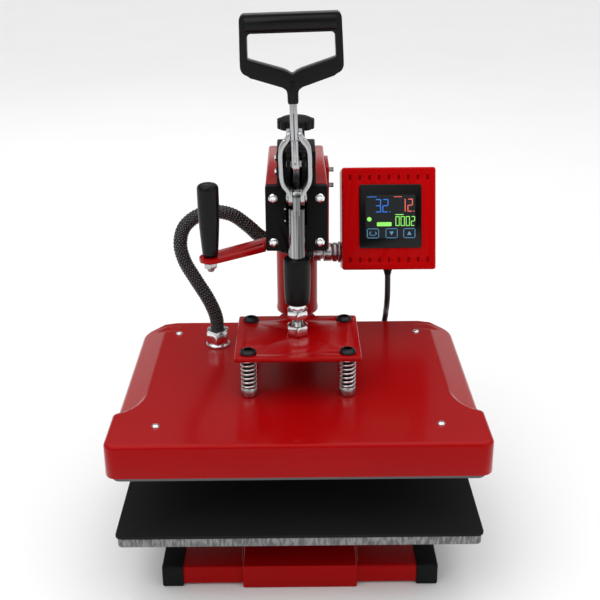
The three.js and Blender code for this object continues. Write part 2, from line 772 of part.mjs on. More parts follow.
function heatingHead() {
  const group = new THREE.Group();
  const halfWidth = PLATEN_WIDTH / 2 - 3.5;
  const front = HEAD.front + HEAD.wall + 1;
  const rear = HEAD.rear - HEAD.wall - 1;
  const top = HEAT_PLATEN.bottom + HEAT_PLATEN.thick;
  const outline = roundedRectangle(-halfWidth, halfWidth, front, rear, 8);
  const platen = alongZ(outline, HEAT_PLATEN.bottom, top, 1);
  group.add(
    headCover(),
    piece("heat_platen", platen, FINISH.aluminium),
    piece("insulation_board", block(-150, 150, -130, 120, top + GAP, top + 3.6), FINISH.rubber),
  );
  boltPlaces().forEach(([x, y], i) => {
    group.add(piece(`spring_bolt_${i + 1}`, springBolt(x, y), FINISH.zinc));
    group.add(piece(`spring_${i + 1}`, spring(x, y), FINISH.chrome));
  });
  const { x, y } = HEAD_GLAND;
  const gland = join(
    rod(7, HEAD.top - 8, HEAD.top + 1, x, y, 20),
    turned([[0, 204.3], [14.2, 204.3], [14.2, 207], [12.8, 208.5], [0, 208.5]], x, y, 24),
    alongZ(hexagon(24, x, y), 208, 224.5, 0.8),
  );
  group.add(piece("head_gland", gland, FINISH.chrome));
  return group;
}

// ---------------------------------------------------------------- lever
/** One bent side plate seen from the front: inner is its distance from the middle at each height. */
function sidePlate(sign) {
  const thick = 4.5;
  const inner = [[4, 385], [4, 416], [13.5, 427], [13.5, 461], [3.7, 480], [3.7, 494]];
  const outer = inner.map(([x, z]) => [x + thick, z]).reverse();
  const outline = [...inner, ...outer].map(([x, z]) => [sign * x, z]);
  return alongY(polygon(...outline), -12, 60);
}

function lever() {
  const side = join(
    alongX(capsule(0, PIVOT.z, 0, 484.5, PIVOT.eye), -30, 30, 0, 7),
    alongX(capsule(0, PIVOT.z, EAR_Y, EAR_Z, EAR.radius), -30, 30, 0, 7),
  );
  const plates = join(sidePlate(-1), sidePlate(1), block(-3.8, 3.8, -12, 12, 474, 494)).intersect(side);
  const shank = block(-3.8, 3.8, -7, 7, 476, 516);
  const holes = [
    rodX(PIVOT.hole, -BIG, BIG, 0, PIVOT.z),
    rodX(3, -BIG, BIG, EAR_Y, EAR_Z, 16),
  ];
  const group = new THREE.Group();
  group.add(piece("lever_fork", cut(join(plates, shank), ...holes), FINISH.chrome));
  group.add(piece("d_grip", dGrip(), FINISH.blackPlastic));
  const pin = join(
    rodX(PIVOT.hole - GAP, -10.5, 10.5, 0, PIVOT.z),
    rodX(5.8, 8.8, 11, 0, PIVOT.z),
    rodX(5.8, -11, -8.8, 0, PIVOT.z),
  );
  group.add(piece("lever_pin", pin, FINISH.zinc));

  const leaning = new THREE.Group();
  leaning.position.set(0, 0, PIVOT.z);
  leaning.rotation.y = THREE.MathUtils.degToRad(LEAN);
  group.position.set(0, 0, -PIVOT.z);
  leaning.add(group);
  return leaning;
}

/** The D-shaped grip, with a socket for the lever's shank. */
function dGrip() {
  const half = 51.5;
  const top = 596;
  const outline = new THREE.Shape();
  outline.moveTo(-5.2, 497);
  outline.lineTo(5.2, 497);
  outline.lineTo(5.2, 519);
  outline.quadraticCurveTo(6, 523, 10, 524.5);
  outline.lineTo(half - 7, 537);
  outline.quadraticCurveTo(half, 540, half, 548);
  outline.lineTo(half - 1.5, top - 4);
  outline.quadraticCurveTo(half - 2, top, half - 6, top);
  outline.lineTo(6 - half, top);
  outline.quadraticCurveTo(2 - half, top, 1.5 - half, top - 4);
  outline.lineTo(-half, 548);
  outline.quadraticCurveTo(-half, 540, 7 - half, 537);
  outline.lineTo(-10, 524.5);
  outline.quadraticCurveTo(-6, 523, -5.2, 519);
  outline.closePath();
  const window = polygon(
    [0, 536.5],
    [5, 540.5],
    [43.6, 552.5],
    [43.2, 577.5],
    [-43.2, 577.5],
    [-43.6, 552.5],
    [-5, 540.5],
  );
  outline.holes.push(window);
  const body = alongY(outline, -9, 9, 2.4, 4);
  const bar = alongY(roundedRectangle(6 - half, half - 6, 577.8, top - 0.6, 8.5), -12, 12, 4, 4);
  const socket = block(-4.1, 4.1, -7.3, 7.3, 490, 516.3);
  return cut(join(body, bar), socket);
}

// ---------------------------------------------------------------- mains lead
/** The lead hangs from the control box, then runs down behind the machine to the table and its coil. */
const HANGING_ROUTE = [
  [112, 151.7, 263.6],
  [112, 149.2, 256],
  [112, 147.8, 247],
  [112, 148.3, 237],
  [112, 151.5, 228],
  [112.2, 157.5, 219.5],
  [112.4, 165, 212],
  [112.5, 169.4, 207],
  [112.5, 171, 203.3],
];
const TABLE_ROUTE = [
  [112.3, 171.2, 202],
  [110, 177, 180],
  [106, 188, 148],
  [102, 198, 116],
  [98.5, 206, 84],
  [96, 211, 56],
  [95, 215, 37],
  [94.6, 222, 20],
  [94.5, 231, 9],
  [94.5, 240, 4.6],
  [94.5, 244, 4],
];

function mainsLead() {
  const group = new THREE.Group();
  const { x, y, inner, outer, height } = COIL;
  group.add(piece("lead_drop", swept(HANGING_ROUTE, LEAD.radius, 8, 6), FINISH.blackPlastic));
  group.add(piece("lead_run", swept(TABLE_ROUTE, LEAD.radius, 8, 22), FINISH.blackPlastic));
  const turns = turned(
    [
      [inner, 2],
      [inner + 2, 0],
      [outer - 2, 0],
      [outer, 2],
      [outer, height - 2],
      [outer - 2, height],
      [inner + 2, height],
      [inner, height - 2],
      [inner, 2],
    ],
    x,
    y,
    28,
  );
  group.add(piece("lead_coil", turns, FINISH.blackPlastic));
  group.add(plug());
  return group;
}

/** A three-pin plug lying on its back beside the coil, with its strain relief towards the coil. */
function plug() {
  const body = alongZ(roundedRectangle(-24, 24, -23, 23, 8), 0, 19, 3, 4);
  const pins = join(
    block(-2, 2, 10, 18, 17, 36),
    block(-14.2, -7.9, -12, -8, 17, 33),
    block(7.9, 14.2, -12, -8, 17, 33),
  );
  const geometry = new THREE.CylinderGeometry(6, 3.9, 27, 16);
  geometry.translate(0, -35.5, 9.5);
  const made = join(body, pins, solid(geometry));
  const mesh = piece("plug", made, FINISH.blackPlastic);
  mesh.position.set(-40.5, 281.5, 0);
  mesh.rotation.z = THREE.MathUtils.degToRad(110);
  return mesh;
}

// ---------------------------------------------------------------- the machine
const machine = new THREE.Group();
machine.position.y = -MIDDLE_Y;
machine.add(base(), swingArm(), adjuster(), carriage(), heatingHead(), lever(), mainsLead());

export default machine;
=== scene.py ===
"""Looks of a swing-away heat press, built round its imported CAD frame.

Each sub-assembly is a class. Its fields are sizes in millimetres, and its places come from the
boxes of the CAD nodes. Pieces are made at their place in the frame, dressed with a procedural
finish, and set to ride on a CAD body.
"""

import logging
import math
from collections.abc import Callable, Iterable, Iterator, Sequence
from contextlib import contextmanager
from dataclasses import dataclass
from enum import Enum
from functools import cache

import bpy
from mathutils import Matrix, Vector


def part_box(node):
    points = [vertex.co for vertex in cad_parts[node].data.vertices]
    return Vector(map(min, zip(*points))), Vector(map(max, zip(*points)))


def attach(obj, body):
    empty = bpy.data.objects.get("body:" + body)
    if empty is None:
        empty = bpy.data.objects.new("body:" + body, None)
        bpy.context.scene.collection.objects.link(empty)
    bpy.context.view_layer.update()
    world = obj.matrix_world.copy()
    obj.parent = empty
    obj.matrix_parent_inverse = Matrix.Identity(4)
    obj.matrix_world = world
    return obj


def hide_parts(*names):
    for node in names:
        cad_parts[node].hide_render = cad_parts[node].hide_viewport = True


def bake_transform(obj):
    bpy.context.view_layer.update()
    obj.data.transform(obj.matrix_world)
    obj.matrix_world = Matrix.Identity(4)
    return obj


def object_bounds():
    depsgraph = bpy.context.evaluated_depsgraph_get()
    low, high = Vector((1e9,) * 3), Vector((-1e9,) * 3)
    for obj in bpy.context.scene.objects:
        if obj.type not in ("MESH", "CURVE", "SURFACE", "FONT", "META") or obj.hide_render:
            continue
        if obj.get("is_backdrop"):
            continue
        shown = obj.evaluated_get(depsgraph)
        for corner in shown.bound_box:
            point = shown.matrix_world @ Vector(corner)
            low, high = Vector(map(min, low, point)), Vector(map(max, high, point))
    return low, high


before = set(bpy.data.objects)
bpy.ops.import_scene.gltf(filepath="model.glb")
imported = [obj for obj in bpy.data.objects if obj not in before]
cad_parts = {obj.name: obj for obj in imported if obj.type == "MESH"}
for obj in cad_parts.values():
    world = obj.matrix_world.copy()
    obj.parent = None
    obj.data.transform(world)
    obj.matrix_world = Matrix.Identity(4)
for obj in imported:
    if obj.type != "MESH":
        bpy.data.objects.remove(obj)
CAD_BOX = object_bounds()

MM = 0.001
SMOOTH_ANGLE = math.radians(38)
LOG = logging.getLogger("heat_press")

Point = tuple[float, float, float]
Flat = tuple[float, float]
Color = tuple[float, float, float]


class Body(str, Enum):
    """The CAD bodies that pieces ride on."""

    BASE = "base"
    ARM = "swing_arm"
    GRIP = "swing_grip"
    ROCKER = "rocker"
    ADJUSTER = "adjuster"
    KNOB = "knob"
    LINK = "link"
    CARRIAGE = "carriage"
    HEAD = "head"
    LEVER = "lever"


class Axis(Enum):
    """An axis of the frame that a piece lies along."""

    X = 0
    Y = 1
    Z = 2


# ---------------------------------------------------------------- shader maths
class Shade:
    """A shader socket that takes part in sums as a number does."""

    def __init__(self, graph: "Graph", socket: bpy.types.NodeSocket) -> None:
        """Wraps a socket of a graph."""
        self.graph = graph
        self.socket = socket

    def math(self, operation: str, other: "Shade | float" = 0.0, swap: bool = False) -> "Shade":
        """Adds one Math node.

        Args:
            operation: the Math node's operation.
            other: the second number.
            swap: puts the second number first.

        Returns:
            The node's result.
        """
        pair = [other, self] if swap else [self, other]
        return self.graph.add("ShaderNodeMath", {"operation": operation}, dict(enumerate(pair)))

    def __add__(self, other: "Shade | float") -> "Shade":
        """Sum."""
        return self.math("ADD", other)

    __radd__ = __add__

    def __sub__(self, other: "Shade | float") -> "Shade":
        """Difference."""
        return self.math("SUBTRACT", other)

    def __rsub__(self, other: float) -> "Shade":
        """Difference, with this socket taken away."""
        return self.math("SUBTRACT", other, swap=True)

    def __mul__(self, other: "Shade | float") -> "Shade":
        """Product."""
        return self.math("MULTIPLY", other)

    __rmul__ = __mul__

    def __truediv__(self, other: "Shade | float") -> "Shade":
        """Quotient."""
        return self.math("DIVIDE", other)

    def __pow__(self, other: float) -> "Shade":
        """Power."""
        return self.math("POWER", other)

    def wave(self) -> "Shade":
        """The sine of the value, from nought to one."""
        return self.math("SINE") * 0.5 + 0.5


class Graph:
    """The nodes of one material."""

    def __init__(self, name: str) -> None:
        """Makes an empty material with a Principled shader.

        Args:
            name: the material's name.
        """
        self.material = bpy.data.materials.new(name)
        self.material.use_nodes = True
        self.nodes = self.material.node_tree.nodes
        self.links = self.material.node_tree.links
        self.shader = self.nodes["Principled BSDF"]

    def add(
        self,
        kind: str,
        settings: dict[str, object] | None = None,
        inputs: "dict[int | str, Shade | float | Sequence[float]] | None" = None,
        output: int | str = 0,
    ) -> Shade:
        """Adds a node.

        Args:
            kind: the node's type.
            settings: its own properties; "stops" sets a ramp's stops.
            inputs: a value or a link for each named or numbered socket.
            output: which socket to give back.

        Returns:
            The node's output.
        """
        node = self.nodes.new(kind)
        for key, value in (settings or {}).items():
            if key == "stops":
                set_stops(node, value)
            else:
                setattr(node, key, value)
        for key, value in (inputs or {}).items():
            if isinstance(value, Shade):
                self.links.new(value.socket, node.inputs[key])
            else:
                node.inputs[key].default_value = value
        return Shade(self, node.outputs[output])

    def place(self, stretch: Point = (1, 1, 1)) -> Shade:
        """The place on the object in metres, with each axis stretched."""
        spot = self.add("ShaderNodeTexCoord", output="Object")
        return self.add("ShaderNodeMapping", inputs={"Vector": spot, "Scale": stretch})

    def along(self) -> tuple[Shade, Shade]:
        """A swept piece's own UV map: round it, in turns, and along it, in metres.

        Returns:
            The place round the sweep and the place along it.
        """
        uv = self.add("ShaderNodeUVMap", {"uv_map": "sweep"})
        split = {"Vector": uv}
        return (
            self.add("ShaderNodeSeparateXYZ", inputs=split, output="X"),
            self.add("ShaderNodeSeparateXYZ", inputs=split, output="Y"),
        )

    def noise(self, scale: float, detail: float = 2.0, stretch: Point = (1, 1, 1)) -> Shade:
        """Noise with scale features in a metre."""
        spot = self.place(stretch)
        return self.add("ShaderNodeTexNoise", {}, {"Vector": spot, "Scale": scale, "Detail": detail})

    def cells(self, scale: float) -> Shade:
        """The distance to the middle of a cell, with scale cells in a metre."""
        return self.add("ShaderNodeTexVoronoi", {}, {"Vector": self.place(), "Scale": scale})

    def mix(self, share: Shade, first: Color, second: Color) -> Shade:
        """A blend of two colours."""
        inputs = {"Factor": share, 6: (*first, 1), 7: (*second, 1)}
        return self.add("ShaderNodeMix", {"data_type": "RGBA"}, inputs, output=2)

    def set(self, **values: Shade | float | Sequence[float]) -> None:
        """Sets the shader's sockets; a socket's name is written with underscores."""
        for name, value in values.items():
            socket = self.shader.inputs[name.replace("_", " ")]
            if isinstance(value, Shade):
                self.links.new(value.socket, socket)
            else:
                socket.default_value = value

    def bump(self, height: Shade, depth: float) -> None:
        """Raises the surface by a height from nought to one, times a depth in metres."""
        inputs = {"Height": height, "Distance": depth, "Strength": 1.0}
        self.set(Normal=self.add("ShaderNodeBump", inputs=inputs))


def set_stops(node: bpy.types.Node, stops: Sequence[tuple[float, float]]) -> None:
    """Gives a grey ramp its stops, each a place and a level.

    Args:
        node: the ramp.
        stops: a place and a level for each stop.
    """
    elements = node.color_ramp.elements
    while len(elements) < len(stops):
        elements.new(0.5)
    for element, (where, level) in zip(elements, stops):
        element.position = where
        element.color = (level, level, level, 1)


def around(color: Color, factor: float) -> Color:
    """A colour made lighter or darker."""
    return tuple(min(1.0, part * factor) for part in color)


# ---------------------------------------------------------------- finishes
@dataclass(frozen=True)
class Paint:
    """Powder coat: an even colour with orange peel under a clear gloss."""

    name: str
    color: Color
    roughness: float = 0.3
    coat: float = 0.5
    peel: float = 0.00003
    shine: float = 0.4
    tint: Color = (1.0, 0.12, 0.12)

    def material(self) -> bpy.types.Material:
        """The finish as a material.

        Returns:
            The material.
        """
        graph = Graph(self.name)
        cloud = graph.noise(9, 3)
        peel = graph.noise(420, 2)
        speck = graph.noise(2600, 1)
        uneven = cloud * 0.7 + speck * 0.3
        graph.set(
            Base_Color=graph.mix(uneven, around(self.color, 0.9), around(self.color, 1.1)),
            Roughness=cloud * 0.1 + speck * 0.05 + (self.roughness - 0.07),
            Specular_IOR_Level=self.shine,
            Specular_Tint=(*self.tint, 1),
            Coat_Weight=self.coat,
            Coat_Roughness=0.04,
        )
        graph.bump(peel * 0.85 + speck * 0.15, self.peel)
        return graph.material


@dataclass(frozen=True)
class Metal:
    """Plated or machined metal, with fine tool marks along one direction; where streaks are given, the base
    colour swings between dark and light bands along it, and on the chromed rod these bands are painted
    reflections.
    """

    name: str
    color: Color
    roughness: float
    stretch: Point = (1, 1, 0.06)
    marks: float = 0.00001
    tone_and_reflection_spread: float = 0.12
    # streaks: scale of steep dark and light base-colour bands; on the chromed rod they are painted
    # reflections.
    streaks: float = 0.0

    def material(self) -> bpy.types.Material:
        """The finish as a material.

        Returns:
            The material.
        """
        graph = Graph(self.name)
        lines = graph.noise(1500, 3, self.stretch)
        patches_and_reflection_streaks = graph.noise(self.streaks, 2, self.stretch) if self.streaks else graph.noise(60, 3)
        low, high = 1 - self.tone_and_reflection_spread, 1 + self.tone_and_reflection_spread * 0.5
        # With streaks, the base colour swings hard between dark and light bands: on the chromed rod, painted
        # reflections.
        share = (patches_and_reflection_streaks - 0.4) * 4.5 if self.streaks else patches_and_reflection_streaks * 0.6 + lines * 0.4
        graph.set(
            Base_Color=graph.mix(share, around(self.color, low), around(self.color, high)),
            Metallic=1.0,
            Roughness=patches_and_reflection_streaks * 0.08 + lines * 0.12 + (self.roughness - 0.08),
        )
        graph.bump(lines, self.marks)
        return graph.material


@dataclass(frozen=True)
class Moulded:
    """Moulded plastic or rubber with a fine spark-eroded grain."""

    name: str
    color: Color
    roughness: float
    grain: float = 900
    depth: float = 0.00004
    gloss: float = 0.0

    def material(self) -> bpy.types.Material:
        """The finish as a material.

        Returns:
            The material.
        """
        graph = Graph(self.name)
        grain = graph.cells(self.grain)
        cloud = graph.noise(25, 3)
        graph.set(
            Base_Color=graph.mix(cloud, around(self.color, 0.75), around(self.color, 1.35)),
            Roughness=cloud * 0.14 + grain * 0.08 + (self.roughness - 0.1),
            Specular_IOR_Level=0.12,
            Coat_Weight=self.gloss,
            Coat_Roughness=0.12,
        )
        graph.bump(grain * 0.7 + graph.noise(self.grain * 2) * 0.3, self.depth)
        return graph.material


@dataclass(frozen=True)
class Foam:
    """Closed-cell silicone foam: matt, with a fine open skin."""

    name: str
    color: Color

    def material(self) -> bpy.types.Material:
        """The finish as a material.

        Returns:
            The material.
        """
        graph = Graph(self.name)
        pores = graph.cells(1700)
        cloud = graph.noise(14, 4)
        uneven = pores * 0.5 + cloud * 0.5
        graph.set(
            Base_Color=graph.mix(uneven, around(self.color, 0.6), around(self.color, 1.6)),
            Roughness=cloud * 0.12 + 0.8,
            Specular_IOR_Level=0.25,
        )
        graph.bump(pores * 0.6 + cloud * 0.4, 0.00009)
        return graph.material


@dataclass(frozen=True)
class Conduit:
    """Ribbed hose in a fine black braid, with painted glints where its strands cross: light grey base colour
    standing in for highlights.
    """

    name: str
    color: Color
    strands: int = 14
    pitch: float = 0.0046

    def material(self) -> bpy.types.Material:
        """The finish as a material.

        Returns:
            The material.
        """
        graph = Graph(self.name)
        turn, length = graph.along()
        around_it = turn * (2 * math.pi * self.strands)
        along_it = length * (2 * math.pi / self.pitch)
        weave = (around_it + along_it).wave() * (around_it - along_it).wave()
        # Painted glints: where the strands cross, the base colour is lifted to light grey to stand in for
        # highlights.
        painted_glint = weave ** 8.0
        graph.set(
            Base_Color=graph.mix(painted_glint, around(self.color, 0.5), (0.42, 0.42, 0.43)),
            Roughness=0.42 - weave * 0.16,
            Specular_IOR_Level=0.3,
            Coat_Weight=0.15,
            Coat_Roughness=0.15,
        )
        graph.bump(weave, 0.00035)
        return graph.material


@dataclass(frozen=True)
class Sheath:
    """Extruded cable sheath, with faint lines along it."""

    name: str
    color: Color

    def material(self) -> bpy.types.Material:
        """The finish as a material.

        Returns:
            The material.
        """
        graph = Graph(self.name)
        turn, length = graph.along()
        lines = (turn * (2 * math.pi * 18)).wave()
        cloud = graph.noise(130, 3)
        graph.set(
            Base_Color=graph.mix(cloud, around(self.color, 0.7), around(self.color, 1.4)),
            Roughness=cloud * 0.15 + 0.42 + length * 0.01,
        )
        graph.bump(lines * 0.3 + cloud * 0.7, 0.00004)
        return graph.material


@dataclass(frozen=True)
class Glass:
    """Black touch glass: a clear gloss over a dark ground with faint finger marks."""

    name: str
    color: Color

    def material(self) -> bpy.types.Material:
        """The finish as a material.

        Returns:
            The material.
        """
        graph = Graph(self.name)
        smear = graph.noise(70, 4, (1, 1, 2.4))
        graph.set(
            Base_Color=graph.mix(smear, around(self.color, 0.8), around(self.color, 1.2)),
            Roughness=smear * 0.1 + 0.03,
            Specular_IOR_Level=0.3,
            Coat_Weight=0.15,
            Coat_Roughness=0.03,
        )
        graph.bump(smear, 0.000004)
        return graph.material


@dataclass(frozen=True)
class Glow:
    """A lit display segment, a little uneven as behind a light guide."""

    name: str
    color: Color
    strength: float = 1.0

    def material(self) -> bpy.types.Material:
        """The finish as a material.

        Returns:
            The material.
        """
        graph = Graph(self.name)
        even = graph.noise(420, 2)
        lit = graph.mix(even, around(self.color, 0.7), around(self.color, 1.15))
        graph.set(
            Base_Color=graph.mix(even, around(self.color, 0.4), around(self.color, 0.6)),
            Emission_Color=lit,
            Emission_Strength=self.strength,
            Roughness=even * 0.1 + 0.3,
        )
        return graph.material


@dataclass(frozen=True)
class Board:
    """Circuit board: green mask over a grid of tracks."""

    name: str
    color: Color

    def material(self) -> bpy.types.Material:
        """The finish as a material.

        Returns:
            The material.
        """
        graph = Graph(self.name)
        tracks = graph.add(
            "ShaderNodeTexBrick",
            inputs={"Vector": graph.place((1, 1, 1)), "Scale": 60.0, "Mortar Size": 0.02},
            output="Fac",
        )
        tone_and_reflection_spread = graph.noise(300)
        graph.set(
            Base_Color=graph.mix(tracks * 0.7 + tone_and_reflection_spread * 0.3, self.color, around(self.color, 2.0)),
            Roughness=tone_and_reflection_spread * 0.2 + 0.35,
        )
        graph.bump(tracks, 0.00004)
        return graph.material


@dataclass(frozen=True)
class Wool:
    """Mineral wool board."""

    name: str
    color: Color

    def material(self) -> bpy.types.Material:
        """The finish as a material.

        Returns:
            The material.
        """
        graph = Graph(self.name)
        fibres = graph.noise(500, 5, (1, 0.2, 1))
        graph.set(
            Base_Color=graph.mix(fibres, around(self.color, 0.7), self.color),
            Roughness=fibres * 0.1 + 0.85,
        )
        graph.bump(fibres, 0.0004)
        return graph.material


Finish = Paint | Metal | Moulded | Foam | Conduit | Sheath | Glass | Glow | Board | Wool


@cache
def made(finish: Finish) -> bpy.types.Material:
    """The material of a finish, made once."""
    return finish.material()


RED = Paint("red_powder_coat", (0.32, 0.0008, 0.0016), 0.22, 0.1, shine=0.3)
BOX_RED = Paint("box_red_powder_coat", (0.48, 0.001, 0.002), 0.34, 0.06, shine=0.25)
DARK_RED = Paint("frame_red_powder_coat", (0.34, 0.001, 0.0015), 0.34, 0.08, shine=0.25)
BLACK_PAINT = Paint("black_powder_coat", (0.005, 0.005, 0.0055), 0.42, 0.0, 0.00005, 0.08, (1, 1, 1))
CHROME = Metal("chrome_plate", (0.82, 0.83, 0.84), 0.13, marks=0.000004, tone_and_reflection_spread=0.05)
# Rod chrome: its dark base colour and the steep streaks in it are painted reflections of the surround.
ROD_CHROME = Metal("rod_chrome", (0.34, 0.342, 0.345), 0.16, (1, 1, 0.012), 0.000006, 0.75, 230)
ZINC = Metal("zinc_plate", (0.50, 0.505, 0.515), 0.26, (1, 1, 1))
NICKEL = Metal("nickel_wire", (0.66, 0.66, 0.67), 0.2, (1, 1, 1), tone_and_reflection_spread=0.08)
BLACK_OXIDE = Metal("black_oxide", (0.035, 0.035, 0.038), 0.38, (1, 1, 1))
CAST = Metal("machined_aluminium", (0.26, 0.26, 0.265), 0.5, (1, 1, 0.25), 0.00003, 0.45, 420)
COATED = Metal("coated_platen", (0.12, 0.12, 0.125), 0.45, (1, 1, 1), 0.00002)
FOAM = Foam("silicone_foam", (0.006, 0.006, 0.0065))
BOOT = Moulded("boot_rubber", (0.006, 0.0068, 0.0068), 0.62, 700, 0.00007)
SLEEVE = Moulded("sleeve_rubber", (0.004, 0.004, 0.004), 0.4, 1200, 0.00002, 0.05)
BLACK = Moulded("black_plastic", (0.005, 0.005, 0.005), 0.42)
GRIP = Moulded("grip_plastic", (0.003, 0.003, 0.003), 0.3, 1400, 0.00002, 0.12)
HOSE = Conduit("braided_conduit", (0.006, 0.006, 0.0065))
CABLE = Sheath("cable_sheath", (0.008, 0.008, 0.008))
TOUCH = Glass("touch_glass", (0.002, 0.002, 0.0022))
PANEL = Glass("display_ground", (0.022, 0.026, 0.028))
BOARD = Board("circuit_board", (0.012, 0.10, 0.04))
FIBRE = Wool("mineral_wool", (0.6, 0.55, 0.44))
BLUE_GLOW = Glow("blue_segments", (0.03, 0.16, 0.62))
RED_GLOW = Glow("red_segments", (0.75, 0.12, 0.09))
GREEN_GLOW = Glow("green_segments", (0.25, 0.80, 0.12))
PALE_GLOW = Glow("key_outlines", (0.09, 0.27, 0.46), 0.8)
WHITE_MARK = Moulded("white_mark", (0.7, 0.7, 0.68), 0.5)


# ---------------------------------------------------------------- mesh tools
@dataclass(frozen=True)
class Span:
    """A box in the frame, in metres."""

    low: Vector
    high: Vector

    @staticmethod
    def of(node: str) -> "Span":
        """The box of a CAD node."""
        return Span(*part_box(node))

    @property
    def middle(self) -> Vector:
        """The box's middle."""
        return (self.low + self.high) / 2

    @property
    def size(self) -> Vector:
        """The box's size."""
        return self.high - self.low

    @property
    def foot(self) -> Vector:
        """The middle of the box's underside."""
        return Vector((self.middle.x, self.middle.y, self.low.z))


def alone(piece: bpy.types.Object) -> None:
    """Makes one object the only one selected, and the active one.

    Args:
        piece: the object to select.
    """
    for other in bpy.context.selected_objects:
        other.select_set(False)
    piece.select_set(True)
    bpy.context.view_layer.objects.active = piece


@contextmanager
def editing(piece: bpy.types.Object) -> Iterator[None]:
    """Edit mode on one object, with all of it selected.

    Args:
        piece: the object to edit.

    Yields:
        Nothing, while edit mode is on.
    """
    alone(piece)
    bpy.ops.object.mode_set(mode="EDIT")
    bpy.ops.mesh.select_all(action="SELECT")
    yield
    bpy.ops.object.mode_set(mode="OBJECT")


def drawn(
    name: str,
    points: Iterable[Sequence[float]],
    edges: Sequence[tuple[int, int]] = (),
    faces: Sequence[Sequence[int]] = (),
) -> bpy.types.Object:
    """An object from its points, edges and faces.

    Args:
        name: the object's name.
        points: its points, in metres.
        edges: pairs of points' numbers.
        faces: the points' numbers for each face.

    Returns:
        The object, selected.
    """
    mesh = bpy.data.meshes.new(name)
    mesh.from_pydata([tuple(point) for point in points], edges, faces)
    piece = bpy.data.objects.new(name, mesh)
    bpy.context.scene.collection.objects.link(piece)
    alone(piece)
    return piece


def ring_faces(rings: int, count: int) -> list[tuple[int, ...]]:
    """The faces that join rings of points one after another, closed at both ends.

    Args:
        rings: how many rings there are.
        count: points in each ring.

    Returns:
        The points' numbers for each face.
    """
    faces = []
    for i in range(rings - 1):
        low, high = i * count, (i + 1) * count
        for k in range(count):
            after = (k + 1) % count
            faces.append((low + k, low + after, high + after, high + k))
    last = (rings - 1) * count
    return [*faces, tuple(reversed(range(count))), tuple(range(last, last + count))]


def closed(piece: bpy.types.Object, merge: float = 1e-6) -> bpy.types.Object:
    """Merges doubles and turns all faces outwards.

    Args:
        piece: the object to mend.
        merge: how near two points are merged, in metres.

    Returns:
        The piece.
    """
    with editing(piece):
        bpy.ops.mesh.remove_doubles(threshold=merge)
        bpy.ops.mesh.normals_make_consistent(inside=False)
    return piece


def modified(piece: bpy.types.Object, kind: str, **settings: object) -> bpy.types.Object:
    """Adds a modifier and applies it.

    Args:
        piece: the object to change.
        kind: the modifier's type.
        settings: the modifier's own properties.

    Returns:
        The piece.
    """
    alone(piece)
    modifier = piece.modifiers.new("step", kind)
    for key, value in settings.items():
        setattr(modifier, key, value)
    bpy.ops.object.modifier_apply(modifier=modifier.name)
    return piece


def eased(piece: bpy.types.Object, width: float, steps: int = 2) -> bpy.types.Object:
    """Rounds the sharp edges by a width in millimetres, and shades the rest smooth.

    Args:
        piece: the object to ease.
        width: the rounding's width; nought leaves the edges sharp.
        steps: faces across the rounding.

    Returns:
        The piece.
    """
    if width > 0:
        modified(
            piece, "BEVEL", width=width * MM, segments=steps, limit_method="ANGLE", angle_limit=SMOOTH_ANGLE
        )
    alone(piece)
    bpy.ops.object.shade_smooth_by_angle(angle=SMOOTH_ANGLE)
    return piece


def joined(name: str, *pieces: bpy.types.Object) -> bpy.types.Object:
    """Several objects as one.

    Args:
        name: the name of the whole.
        pieces: the objects to join; the first one takes the others in.

    Returns:
        The joined object.
    """
    alone(pieces[0])
    for piece in pieces[1:]:
        piece.select_set(True)
    bpy.ops.object.join()
    pieces[0].name = name
    return pieces[0]


def bored(
    piece: bpy.types.Object, *tools: bpy.types.Object, operation: str = "DIFFERENCE"
) -> bpy.types.Object:
    """Cuts a piece by tools, which are used up.

    Args:
        piece: the object to cut.
        tools: what it is cut by.
        operation: how the cut is made, a Boolean modifier's operation.

    Returns:
        The piece.
    """
    for tool in tools:
        modified(piece, "BOOLEAN", operation=operation, object=tool, solver="EXACT")
        bpy.data.objects.remove(tool)
    return piece


def laid(piece: bpy.types.Object, axis: Axis, at: Vector) -> bpy.types.Object:
    """Turns a piece made along Z so that it lies along an axis, and puts its origin at a place.

    Args:
        piece: the object to lay.
        axis: the axis that it lies along.
        at: where its origin goes, in metres.

    Returns:
        The piece.
    """
    turns = {
        Axis.X: Matrix.Rotation(math.pi / 2, 4, "Y"),
        Axis.Y: Matrix.Rotation(-math.pi / 2, 4, "X"),
        Axis.Z: Matrix.Identity(4),
    }
    piece.data.transform(Matrix.Translation(at) @ turns[axis])
    return piece


def turned(
    name: str,
    profile: Sequence[Flat],
    at: Sequence[float] = (0, 0, 0),
    axis: Axis = Axis.Z,
    steps: int = 64,
    ease: float = 0.3,
) -> bpy.types.Object:
    """A profile spun round an axis.

    Args:
        name: the piece's name.
        profile: radius and height of each point, in millimetres.
        at: where the profile's origin goes, in metres.
        axis: the axis that it is spun round.
        steps: faces in a turn.
        ease: width of the rounding of sharp edges, in millimetres.

    Returns:
        The piece.
    """
    points = [(radius * MM, 0, height * MM) for radius, height in profile]
    piece = drawn(name, points, [(i, i + 1) for i in range(len(points) - 1)])
    with editing(piece):
        bpy.ops.mesh.spin(steps=steps, angle=2 * math.pi, center=(0, 0, 0), axis=(0, 0, 1))
    closed(piece)
    return eased(laid(piece, axis, Vector(at)), ease)


